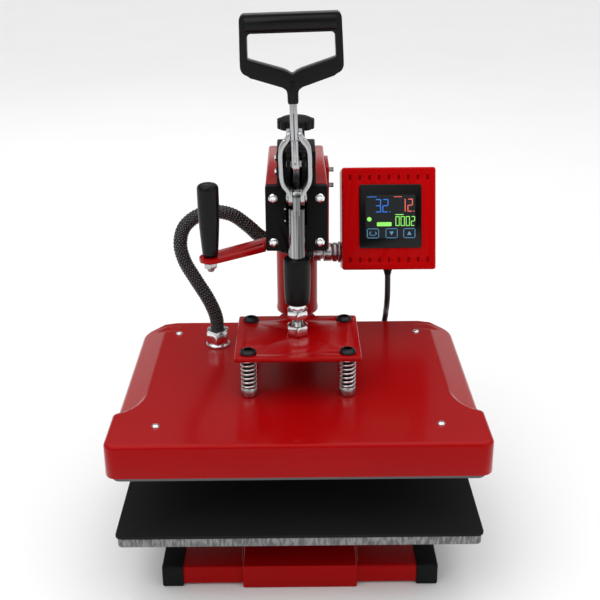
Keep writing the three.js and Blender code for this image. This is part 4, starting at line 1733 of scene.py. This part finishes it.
@dataclass
class ControlBox:
    """The red box with its touch display, its back, board, switch and screws."""

    lcd: tuple[float, float, float, float] = (7.5, 12.1, 66.4, 66.1)
    keys: tuple[float, ...] = (9.1, 31.2, 52.3)
    key_size: Flat = (14.1, 12.0)
    stroke: float = 1.1
    squeeze: float = 0.956
    panel_corner: Point = (74.5, 128.5, 308.5)
    vent_rows: tuple[Flat, ...] = ((286, 301), (386.5, 401))
    screw_sides: Flat = (62, 157.5)
    screw_heights: Flat = (291, 396)

    def build(self) -> None:
        """Makes every piece of the box."""
        dressed(refined("control_box", "box_shell", 0.7, 3), BOX_RED, Body.ARM)
        dressed(refined("control_box_back", "box_back", 0.4), BOX_RED, Body.ARM)
        painted("control_board", BOARD)
        self.back_screws()
        self.liner()
        self.switch()
        dressed(refined("display_panel", "touch_panel", 0.45, 3), TOUCH, Body.ARM)
        self.display()

    def back_screws(self) -> None:
        """Four screws in the back plate."""
        places = on_machine([(x, 190, z) for x in self.screw_sides for z in self.screw_heights])
        screws = [socket_bolt("screw", 3.0, 1.6, place, Axis.Y) for place in places]
        dressed(leaned_back(joined("box_back_screws", *screws)), BLACK_OXIDE, Body.ARM)

    def liner(self) -> None:
        """A thin screen behind the two rows of slots."""
        corners = [on_machine([(58, 132, low), (161.5, 132.8, high)]) for low, high in self.vent_rows]
        strips = [block("strip", low, high, 0) for low, high in corners]
        dressed(leaned_back(joined("vent_liner", *strips)), DARK_RED, Body.ARM)

    def switch(self) -> None:
        """The rocker switch, with its two marks."""
        dressed(refined("switch_housing", "switch_frame", 0.5), BLACK, Body.ARM)
        dressed(refined("power_rocker", "switch_rocker", 0.5), GRIP, Body.ROCKER)
        ends = on_machine([(84.5, 192.9, 373.5), (85.5, 193.5, 378.5)])
        bar = block("bar", ends[0], ends[1], 0)
        spot = on_machine([(85, 192.6, 362.5)])[0]
        loop = raised("loop", ring_outline(2.4, 32), -0.5, 0.1, spot, Axis.Y, ease=0)
        loop = bored(loop, raised("hole", ring_outline(1.6, 32), -2, 2, spot, Axis.Y, ease=0))
        dressed(leaned_back(joined("switch_marks", bar, loop)), WHITE_MARK, Body.ROCKER)

    def display(self) -> None:
        """The lit display: ground, figures, badge, dot and three touch keys."""
        x0, z0, x1, z1 = self.lcd
        self.marks("display_ground", [rounded(x0, x1, z0, z1, 1.2)], PANEL, 0.05)
        blue = self.figure(Digit.THREE, 18.6, 44.4, 7.2, 16.4)
        blue += self.figure(Digit.TWO, 27.4, 44.4, 7.2, 16.4)
        blue += [ring_outline(0.75, 12, (36.2, 45.2)), box_outline(9.5, 63.2, 20.5, 64.0)]
        self.marks("temperature_figures", blue, BLUE_GLOW)
        red = self.figure(Digit.ONE, 48.8, 45.0, 6.2, 16.0)
        red += self.figure(Digit.TWO, 57.2, 45.0, 6.4, 16.0)
        red += [ring_outline(0.7, 12, (64.9, 45.6)), box_outline(41.0, 63.2, 50.5, 64.0)]
        self.marks("timer_figures", red, RED_GLOW)
        green = []
        for i, digit in enumerate((Digit.ZERO, Digit.ZERO, Digit.ZERO, Digit.TWO)):
            green += self.figure(digit, 42.9 + i * 6.1, 27.4, 4.9, 12.0)
        green += [ring_outline(2.7, 24, (11.8, 36.0)), rounded(20.8, 38.2, 27.2, 32.2, 1.2)]
        green += [box_outline(42.7, 41.0, 52.5, 41.9)]
        self.marks("counter_figures", green, GREEN_GLOW)
        outlines = []
        for left in self.keys:
            outlines += self.key_frame(left, z0 + 0.3)
        wide, high = self.key_size
        middle = z0 + 0.3 + high / 2
        outlines += self.loop_sign(self.keys[0] + wide / 2, middle)
        for left, way in zip(self.keys[1:], (-1, 1)):
            centre, back, tip = left + wide / 2, middle - way * 2.2, middle + way * 2.6
            outlines.append([(centre - 2.6, back), (centre + 2.6, back), (centre, tip)])
        self.marks("touch_keys", outlines, PALE_GLOW)

    def figure(self, digit: Digit, x: float, z: float, wide: float, high: float) -> list[list[Flat]]:
        """The lit segments of one digit.

        Args:
            digit: which digit.
            x: its left edge on the panel, in millimetres.
            z: its lower edge.
            wide: its width.
            high: its height.

        Returns:
            An outline for each segment.
        """
        s = self.stroke if high > 14 else self.stroke * 0.8
        gap = s * 0.18
        half = z + high / 2
        bars = {
            "a": (x + s, z + high - s, x + wide - s, z + high),
            "b": (x + wide - s, half + gap, x + wide, z + high - gap),
            "c": (x + wide - s, z + gap, x + wide, half - gap),
            "d": (x + s, z, x + wide - s, z + s),
            "e": (x, z + gap, x + s, half - gap),
            "f": (x, half + gap, x + s, z + high - gap),
            "g": (x + s, half - s / 2, x + wide - s, half + s / 2),
        }
        return [box_outline(*bars[letter]) for letter in digit.value]

    def key_frame(self, left: float, low: float) -> list[list[Flat]]:
        """The four sides of a touch key's outline.

        Args:
            left: the key's left edge on the panel, in millimetres.
            low: its lower edge.

        Returns:
            An outline for each side.
        """
        wide, high = self.key_size
        line = 0.7
        right, top = left + wide, low + high
        return [
            box_outline(left + 1, low, right - 1, low + line),
            box_outline(left + 1, top - line, right - 1, top),
            box_outline(left, low + 1, left + line, top - 1),
            box_outline(right - line, low + 1, right, top - 1),
        ]

    def loop_sign(self, x: float, z: float) -> list[list[Flat]]:
        """A loop with an opening, for the key that goes round the settings.

        Args:
            x: its middle across the panel, in millimetres.
            z: its middle's height.

        Returns:
            An outline for each stroke.
        """
        parts = []
        for i in range(10):
            start, end = (math.radians(125 + 29 * k) for k in (i, i + 0.86))
            parts.append(
                [
                    (x + radius * 1.35 * math.cos(angle), z + radius * 0.85 * math.sin(angle))
                    for radius, angle in ((2.5, start), (3.3, start), (3.3, end), (2.5, end))
                ]
            )
        return parts

    def marks(
        self, name: str, outlines: Iterable[Sequence[Flat]], finish: Finish, proud: float = 0.12
    ) -> None:
        """Thin shapes on the panel's face, measured in millimetres from its lower left corner.

        Args:
            name: the piece's name.
            outlines: the shapes.
            finish: what they are dressed in.
            proud: how far they stand out.
        """
        at = on_machine([self.panel_corner])[0]
        drawn_to = [[(x, z * self.squeeze) for x, z in outline] for outline in outlines]
        parts = [raised("part", outline, -proud, 0.02, at, Axis.Y, ease=0) for outline in drawn_to]
        dressed(leaned_back(joined(name, *parts)), finish, Body.ARM)


# ---------------------------------------------------------------- adjuster
@dataclass
class Adjuster:
    """The black anchor block, its link and the fluted pressure knob."""

    flutes: int = 12
    flute_depth: float = 1.6
    side_bolts: tuple[float, ...] = (441, 425.7)

    def build(self) -> None:
        """Makes every piece of the adjuster."""
        anchor = refined("adjuster_block", "anchor_block", 0.9, 3)
        dressed(anchor, BLACK_PAINT, Body.ADJUSTER)
        place = Span.of("adjuster_block")
        bolts = [
            laid(hex_head(6.4, 2.6), Axis.X, Vector((place.low.x - 0.0027, PLATEN_Y + 40 * MM, z * MM)))
            for z in self.side_bolts
        ]
        dressed(joined("block_side_bolts", *bolts), ZINC, Body.ADJUSTER)
        dressed(refined("anchor_pin", "anchor_pin_rod", 0.4), ZINC, Body.ADJUSTER)
        dressed(refined("toggle_link", "toggle_blade", 0.8, 3), ZINC, Body.LINK)
        self.knob()

    def knob(self) -> None:
        """The fluted knob on its ribbed hub, and its screw with a lock nut."""
        place = Span.of("pressure_knob")
        axis = Vector((place.middle.x, place.middle.y, place.low.z))
        radius = place.size.x / 2 / MM
        rim, high = 10.0, place.size.z / MM
        outline = fluted(radius, self.flutes, self.flute_depth, 3)
        skirt = raised("skirt", outline, rim, rim + 9.5, axis, ease=0.7)
        profile = [(0, rim + 9), (radius - 1.8, rim + 9), (radius - 2.2, rim + 10)]
        profile += [(14, rim + 11.9), (8, rim + 13), (0, high)]
        dome = turned("dome", profile, axis, steps=72, ease=0.3)
        hub = raised("hub", fluted(9.7, 10, 0.8, 2), 0, rim + 0.5, axis, ease=0.4)
        knob = joined("fluted_knob", skirt, dome, hub)
        dressed(knob, BLACK, Body.KNOB, ["pressure_knob"])
        screw = Span.of("knob_screw")
        axis = Vector((screw.middle.x, screw.middle.y, 0))
        block_top = Span.of("adjuster_block").high.z / MM
        low = screw.low.z / MM
        shank = turned("shank", [(0, low), *threaded(4.9, low, 468), (0, 468)], axis, steps=32, ease=0)
        lock = laid(nut("lock", 16, block_top + 0.3, block_top + 4.5, 5), Axis.Z, axis)
        dressed(joined("adjusting_screw", shank, lock), ZINC, Body.KNOB, ["knob_screw"])


# ---------------------------------------------------------------- carriage
@dataclass
class Carriage:
    """The push rod with its sleeve, collar and nuts, and the bridge plate."""

    stud: float = 5.9
    tube: float = 8.75
    tongue: float = 8.6

    def build(self) -> None:
        """Makes every piece of the carriage."""
        self.rod()
        self.sleeve()
        for node in ("upper_nut", "lower_nut"):
            place = Span.of(node)
            size = place.size.z / MM
            piece = laid(nut(f"{node}_body", place.size.y / MM, 0, size, 6.1), Axis.Z, place.foot)
            dressed(piece, CHROME, Body.CARRIAGE, [node])
        collar = Span.of("rod_collar")
        high = collar.size.z / MM
        section = [(6.2, 0), (9, 0), (9, high), (6.2, high), (6.2, 0)]
        ring = turned("collar_ring", section, collar.foot, ease=0.5)
        dressed(ring, CHROME, Body.CARRIAGE, ["rod_collar"])
        dressed(refined("guide_key", "guide_key_bar", 0.3), ZINC, Body.CARRIAGE)
        dressed(refined("bridge_plate", "bridge_bar", 0.4), RED, Body.CARRIAGE)

    def rod(self) -> None:
        """The chromed rod: a threaded stud, a tube and a flat tongue for the lever's pin."""
        place = Span.of("push_rod")
        axis = Vector((place.middle.x, place.middle.y, 0))
        low = place.low.z / MM
        half = self.tongue
        pivot = place.high.z / MM - half
        thread = [(0, low), *threaded(self.stud, low, 290), (0, 290)]
        stud = turned("stud", thread, axis, steps=40, ease=0)
        tube = turned(
            "tube",
            [(0, 289), (self.tube, 289), (self.tube, 395.6), (self.tube - 1.2, 396.8), (0, 396.8)],
            axis, steps=72, ease=0.3,
        )
        outline = [(-half, 390), (half, 390), (half, pivot)]
        outline += [on_circle(half, a, (0, pivot)) for a in range(10, 180, 10)]
        outline.append((-half, pivot))
        tongue = raised("tongue", outline, -3.65, 3.65, axis, Axis.X, ease=0)
        hole = raised("hole", ring_outline(4, 32, (0, pivot)), -20, 20, axis, Axis.X, ease=0)
        rod = joined("chromed_rod", stud, tube, eased(bored(tongue, hole), 0.4))
        dressed(rod, ROD_CHROME, Body.CARRIAGE, ["push_rod"])

    def sleeve(self) -> None:
        """The swelling rubber sleeve on the rod."""
        place = Span.of("rod_sleeve")
        high = place.size.z / MM
        profile = [
            (9.05, 0.2), (11.9, 0), (12.7, 0.6), (13.3, 4), (13.9, 11), (14.3, 18), (14.5, 26), (14.6, 34),
            (14.6, 41), (14.5, 46), (14.3, high - 0.8), (13.8, high), (9.05, high), (9.05, 0.2),
        ]
        sleeve = turned("rubber_sleeve", profile, place.foot, steps=72, ease=0.3)
        dressed(sleeve, SLEEVE, Body.CARRIAGE, ["rod_sleeve"])


# ---------------------------------------------------------------- heating head
@dataclass
class HeatingHead:
    """The pressed cover with its side facets, the heat platen, the sprung bolts and the gland."""

    corner: float = 12.0
    edge: float = 4.0
    wall: float = 3.0
    facet_edge: float = 162.0
    facet_drop: float = 16.0
    facet_front: Flat = (-27.0, -84.0)
    crease: float = 2.2
    screws: tuple[Flat, ...] = ((-144.7, -119), (144.7, -119), (-144.7, 113), (144.7, 113))
    coil_radius: float = 7.35
    coil_turns: float = 7.5
    wire: float = 1.35

    def build(self) -> None:
        """Makes every piece of the head."""
        self.cover()
        dressed(refined("heat_platen", "hot_plate", 0.4), COATED, Body.HEAD)
        painted("insulation_board", FIBRE)
        for i in range(1, 5):
            self.sprung_bolt(i)
        self.gland()
        top = Span.of("head_cover").high.z
        for i, (x, y) in enumerate(self.screws, 1):
            at = on_machine([(x, y, 0)])[0]
            dressed(self.dome_screw(f"cover_screw_{i}", (at.x, at.y, top)), CHROME, Body.HEAD)

    def drop(self, x: float, y: float) -> float:
        """How far the cover's top falls below its flat, at a place in millimetres.

        Args:
            x: the place across the machine.
            y: the place from front to rear.

        Returns:
            The fall in millimetres.
        """
        out = abs(x) - self.facet_edge
        half = self.crease
        if out <= -half:
            return 0.0
        reach = 193 - self.facet_edge
        soft = out if out >= half else (out + half) ** 2 / (4 * half)
        t = min(1.0, max(0.0, (-2 + math.sqrt(max(0.0, 4 + 104 * (out + 1)))) / 52))
        rear, front = self.facet_front
        end = rear - 90 * t + (front - rear + 90) * t * t
        share = min(1.0, max(0.0, (y - (end - 7)) / 14))
        return self.facet_drop / reach * soft * share * share * (3 - 2 * share)

    def ring(self, inset: float) -> list[Flat]:
        """The cover's outline moved in by inset, always with the same number of points.

        Args:
            inset: how far inside the cover's edge it runs, in millimetres.

        Returns:
            The ring's points.
        """
        place = Span.of("head_cover")
        half = place.size.x / 2 / MM - inset
        front = (place.low.y - PLATEN_Y) / MM + inset
        rear = (place.high.y - PLATEN_Y) / MM - inset
        radius = max(self.corner - inset, 0.6)
        corners = [
            (half - radius, front + radius, -90, (0, 1), 72),
            (half - radius, rear - radius, 0, (-1, 0), 24),
            (radius - half, rear - radius, 90, (0, -1), 72),
            (radius - half, front + radius, 180, (1, 0), 24),
        ]
        points = []
        for x, y, start, (along_x, along_y), count in corners:
            arc = [on_circle(radius, start + a, (x, y)) for a in range(0, 91, 15)]
            length = (rear - front if along_y else 2 * half) - 2 * radius
            last = arc[-1]
            side = [
                (last[0] + along_x * length * i / count, last[1] + along_y * length * i / count)
                for i in range(1, count)
            ]
            points += [*arc, *side]
        return points

    def cover(self) -> None:
        """The cover as rings of points: up the inside, over the lip, up the side and over the top."""
        place = Span.of("head_cover")
        low, high = place.low.z / MM, place.high.z / MM
        insets = [self.edge + 1.7 * i for i in range(27)]
        layers = []
        for inset in reversed(insets):
            layers.append([(x, y, high - self.wall - self.drop(x, y)) for x, y in self.ring(inset)])
        layers.append([(x, y, high - 22) for x, y in self.ring(self.wall)])
        layers.append([(x, y, low + 0.6) for x, y in self.ring(self.wall)])
        layers.append([(x, y, low) for x, y in self.ring(self.wall - 0.6)])
        layers.append([(x, y, low) for x, y in self.ring(1.0)])
        layers.append([(x, y, low + 0.4) for x, y in self.ring(0.3)])
        layers.append([(x, y, low + 1.2) for x, y in self.ring(0)])
        for angle in range(0, 91, 15):
            inset = self.edge * (1 - math.cos(math.radians(angle)))
            fall = self.edge * (1 - math.sin(math.radians(angle)))
            layers.append([(x, y, high - fall - self.drop(x, y)) for x, y in self.ring(inset)])
        for inset in insets[1:]:
            layers.append([(x, y, high - self.drop(x, y)) for x, y in self.ring(inset)])
        points = [point for layer in layers for point in on_machine(layer)]
        faces = ring_faces(len(layers), len(layers[0]))
        cover = closed(drawn("pressed_cover", points, faces=faces), 1e-7)
        eased(cover, 0)
        dressed(cover, RED, Body.HEAD, ["head_cover"])

    def sprung_bolt(self, number: int) -> None:
        """A button bolt through the bridge plate, with its collar and its spring.

        Args:
            number: which of the four it is.
        """
        bolt = Span.of(f"spring_bolt_{number}")
        spring = Span.of(f"spring_{number}")
        axis = Vector((bolt.middle.x, bolt.middle.y, 0))
        cover_top = Span.of("head_cover").high.z / MM + 0.3
        under = Span.of("bridge_plate").high.z / MM + 0.3
        seat = spring.low.z / MM - 0.3
        low = bolt.low.z / MM
        stem = [(0, low), (4.9, low), (4.9, under + 0.5), (0, under + 0.5)]
        shank = turned("shank", stem, axis, steps=40, ease=0)
        head = socket_bolt("head", 8.75, 5, (axis.x, axis.y, under * MM))
        piece = joined(f"button_bolt_{number}", shank, head)
        dressed(piece, BLACK_OXIDE, Body.HEAD, [f"spring_bolt_{number}"])
        profile = [(5, cover_top), (8.6, cover_top), (9, cover_top + 1)]
        profile += [(9, seat - 2.4), (8.2, seat - 0.4), (7, seat), (5, seat)]
        collar = turned("collar", profile, axis, steps=48, ease=0.3)
        with editing(collar):
            bpy.ops.mesh.fill_holes(sides=0)
        dressed(collar, ZINC, Body.HEAD)
        self.coil(number)

    def coil(self, number: int) -> None:
        """The spring round a bolt, with closed ends.

        Args:
            number: which of the four it is.
        """
        spring = Span.of(f"spring_{number}")
        low, high = spring.low.z + self.wire * MM, spring.high.z - self.wire * MM
        steps = round(self.coil_turns * 26)
        route = []
        for i in range(steps + 1):
            share = i / steps
            rise = min(1.0, max(0.0, (share - 0.09) / 0.82))
            spot = on_circle(
                self.coil_radius * MM, 360 * self.coil_turns * share, (spring.middle.x, spring.middle.y)
            )
            route.append(Vector((*spot, low + (high - low) * rise)))
        coil = swept(f"coil_spring_{number}", route, lambda _: self.wire * MM, 10)
        coil.data.materials.append(made(NICKEL))
        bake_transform(coil)
        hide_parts(f"spring_{number}")
        LOG.info("coil_spring_%d bends between head and carriage in %s", number, NICKEL.name)

    def gland(self) -> None:
        """The chromed gland nut that holds the conduit on the cover."""
        place = Span.of("head_gland")
        base = Span.of("head_cover").high.z / MM + 0.3
        top = place.high.z / MM
        axis = Vector((place.middle.x, place.middle.y, 0))
        profile = [(0, base - 8), (7, base - 8), (7, base), (14.2, base)]
        profile += [(14.2, base + 2.6), (12.9, base + 4.2), (0, base + 4.2)]
        flange = turned("flange", profile, axis, steps=64, ease=0.3)
        body = laid(nut("body", 24, base + 3.9, top, 8.4), Axis.Z, axis)
        plug = [(0, top - 9.5), (9, top - 9.5), (9, top - 8.6), (0, top - 8.6)]
        core = turned("core", plug, axis, ease=0)
        dressed(joined("conduit_gland", flange, body, core), CHROME, Body.HEAD, ["head_gland"])

    def dome_screw(self, name: str, at: Sequence[float]) -> bpy.types.Object:
        """A domed screw with a cross recess, standing on the cover.

        Args:
            name: the piece's name.
            at: its place on the cover, in metres.

        Returns:
            The screw.
        """
        dome = [(0, -1), (4.1, -1), (4.1, 0.4)]
        dome += [on_circle(4.1, a, (0, 0.4), 2.3 / 4.1) for a in range(15, 76, 15)]
        head = turned(name, [*dome, (0, 2.7)], ease=0, steps=40)
        for wide, deep in ((2.0, 0.45), (0.45, 2.0)):
            low, high = (-wide * MM, -deep * MM, 1.3 * MM), (wide * MM, deep * MM, 4 * MM)
            bored(head, block("slot", low, high, 0))
        return laid(eased(head, 0.1, 1), Axis.Z, Vector(at))


# ---------------------------------------------------------------- lever
@dataclass
class Lever:
    """The forked lever, its pin and the D-shaped grip, leaning a little to the left."""

    lean: float = -1.4
    plate: float = 4.5
    eye: float = 9.5
    hole: float = 4.0
    ear: Flat = (42.35, 401.5)
    ear_radius: float = 8.4

    def build(self) -> None:
        """Makes every piece of the lever."""
        self.pivot = Span.of("lever_pin").middle
        self.fork()
        self.grip()
        self.pin()

    def leaning(self, piece: bpy.types.Object) -> bpy.types.Object:
        """Moves a piece drawn upright about the origin to the pivot, and leans it.

        Args:
            piece: the piece.

        Returns:
            The piece, in its place.
        """
        turn = Matrix.Rotation(math.radians(self.lean), 4, "Y")
        piece.data.transform(Matrix.Translation(self.pivot) @ turn)
        return piece

    def side_bar(self, sign: int) -> bpy.types.Object:
        """One bent side of the fork, with round ends, from the pivot to the shank.

        Args:
            sign: 1 for the right side, -1 for the left.

        Returns:
            The side, drawn about the pivot.
        """
        bends = [
            (4.0, -9.5), (4.0, 3), (6.6, 9), (11.2, 16), (12.5, 22), (12.7, 35), (12.5, 48),
            (10.8, 53.5), (6.2, 59.5), (4.2, 64), (3.75, 68), (3.75, 72),
        ]
        knots = smooth_route([(x * MM, 0, z * MM) for x, z in bends], 1.2 * MM)
        layers = []
        for i, spot in enumerate(knots):
            ahead = (knots[min(i + 1, len(knots) - 1)] - knots[max(i - 1, 0)]).normalized()
            out = Vector((ahead.z, 0, -ahead.x))
            height = spot.z / MM
            low_end = math.sqrt(max(0.04, self.eye ** 2 - min(0.0, height) ** 2))
            top_end = math.sqrt(max(0.04, 1 - max(0.0, (height - 65) / 7.2) ** 2)) if height > 65 else 1.0
            half = min(low_end, 9.5) * top_end
            half = half if height < 4 else half * (1 - 0.1 * min(1, (height - 4) / 12))
            section = rounded(0, self.plate, -half, half, min(1.5, half * 0.9), 4)
            layers.append([spot + out * (u * MM) + Vector((0, v * MM, 0)) for u, v in section])
        points = [(sign * p.x, p.y, p.z) for layer in layers for p in layer]
        return closed(drawn("side", points, faces=ring_faces(len(layers), len(layers[0]))))

    def fork(self) -> None:
        """Two bent sides, their ears, the shank between them, the welds and a through bolt."""
        parts = []
        ear_y, ear_z = self.ear[0], self.ear[1] - self.pivot.z / MM
        for sign in (-1, 1):
            bar = self.side_bar(sign)
            bore = raised("bore", ring_outline(self.hole, 40), -20, 20, axis=Axis.X, ease=0)
            bored(bar, bore)
            outline = self.ear_outline(ear_y, ear_z)
            inner, outer = sign * 4.05, sign * (3.95 + self.plate)
            ear = raised("ear", outline, inner, outer, axis=Axis.X, ease=0)
            for spot, radius in (((0, 0), self.hole), ((ear_y, ear_z), 3.0)):
                bored(ear, raised("bore", ring_outline(radius, 32, spot), -20, 20, axis=Axis.X, ease=0))
            parts += [eased(bar, 0), eased(ear, 0.6)]
        for side in (-1, 1):
            strip = rounded(side * 2.02 - 1.86, side * 2.02 + 1.86, -6.9, 6.9, 1.2, 3)
            parts.append(raised("strip", strip, 50, 107, ease=0.2))
            route = [Vector((side * 2.3 * MM, -7.0 * MM, z * MM)) for z in range(33, 62)]
            parts.append(weld_bead("bead", route, 1.5))
            route = [Vector((side * 2.3 * MM, 7.0 * MM, z * MM)) for z in range(50, 62)]
            parts.append(weld_bead("bead", route, 1.5))
        parts.append(raised("rib", rounded(-3.6, 3.6, -6.6, 6.6, 1.2, 3), 32, 62, ease=0.6))
        fork = joined("lever_sides", *parts)
        dressed(self.leaning(fork), ZINC, Body.LEVER, ["lever_fork"])
        head = laid(hex_head(9, 3.4), Axis.X, Vector((-11.8 * MM, 0, 57 * MM)))
        end = laid(hex_head(9, 3.0), Axis.X, Vector((8.8 * MM, 0, 57 * MM)))
        dressed(self.leaning(joined("fork_bolt", head, end)), CHROME, Body.LEVER)

    def ear_outline(self, y: float, z: float) -> list[Flat]:
        """A plate from the pivot's eye to the rear eye, with round ends.

        Args:
            y: the rear eye's place behind the pivot, in millimetres.
            z: its height above the pivot.

        Returns:
            The outline's points.
        """
        along = math.degrees(math.atan2(z, y))
        near = [on_circle(self.eye * 0.97, along + a) for a in range(90, 271, 12)]
        far = [on_circle(self.ear_radius, along + a, (y, z)) for a in range(-90, 91, 12)]
        return near + far

    def grip(self) -> None:
        """The moulded D-shaped grip with its thick bar."""
        place = self.pivot.z / MM
        half, top = 51.5, 596 - place
        shoulder = [(5.2, 507.5), (5.4, 517), (6.2, 521.4), (10, 524.2), (42, 534.6)]
        outline = [(x, z - place) for x, z in shoulder]
        outline += [on_circle(9, a - 90, (half - 9, 545.5 - place)) for a in range(15, 91, 15)]
        outline += [(half, 552 - place), (half - 1.2, top - 5), (half - 2.2, top - 1.6), (half - 5, top)]
        frame_face = [*outline, *[(-x, z) for x, z in reversed(outline)]]
        body = raised("body", frame_face, -9, 9, axis=Axis.Y, ease=0)
        opening = [
            (0, 536.5), (4.5, 539.6), (9, 541.6), (43.4, 552.2), (43.8, 553.6), (43.2, 574.5), (41.2, 577.5),
        ]
        window = [(x, z - place) for x, z in opening]
        window = [*window, *[(-x, z) for x, z in reversed(window[1:])]]
        bored(body, raised("window", window, -40, 40, axis=Axis.Y, ease=0))
        eased(body, 2.6, 4)
        section = rounded(-12, 12, 577.2 - place, 595.6 - place, 8.6, 8)
        bar = raised("bar", section, -45.5, 45.5, axis=Axis.X, ease=1.2)
        neck = raised("neck", rounded(-5.6, 5.6, 0.5, 8.6, 2.4, 4), 507.2 - place, 521 - place, ease=0.5)
        ridge = raised("ridge", rounded(-2.6, 2.6, -9.6, -7.5, 0.9, 4), 509 - place, 531 - place, ease=0.5)
        grip = joined("lever_grip", body, bar, neck, ridge)
        dressed(self.leaning(grip), GRIP, Body.LEVER, ["d_grip"])

    def pin(self) -> None:
        """The lever's pin, with domed ends."""
        profile = [
            (0, -11), (3.6, -11), (5.4, -10.4), (5.8, -9.6), (5.8, -8.8), (3.7, -8.8), (3.7, 8.8), (5.8, 8.8),
            (5.8, 9.6), (5.4, 10.4), (3.6, 11), (0, 11),
        ]
        pin = turned("lever_pivot_pin", profile, (0, 0, 0), Axis.X, steps=40, ease=0.2)
        dressed(self.leaning(pin), ZINC, Body.LEVER, ["lever_pin"])


# ---------------------------------------------------------------- the machine
def main() -> None:
    """Builds the studio and then the machine, the lead first."""
    logging.basicConfig(level=logging.INFO, format="%(message)s")
    Studio().build()
    parts = (MainsLead(), Base(), SwingArm(), ControlBox(), Adjuster(), Carriage(), HeatingHead(), Lever())
    for part in parts:
        part.build()
    boxes = {"cad": CAD_BOX, "visual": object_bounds()}
    {name: [list(corner) for corner in box] for name, box in boxes.items()}


if __name__ == "__main__":
    main()
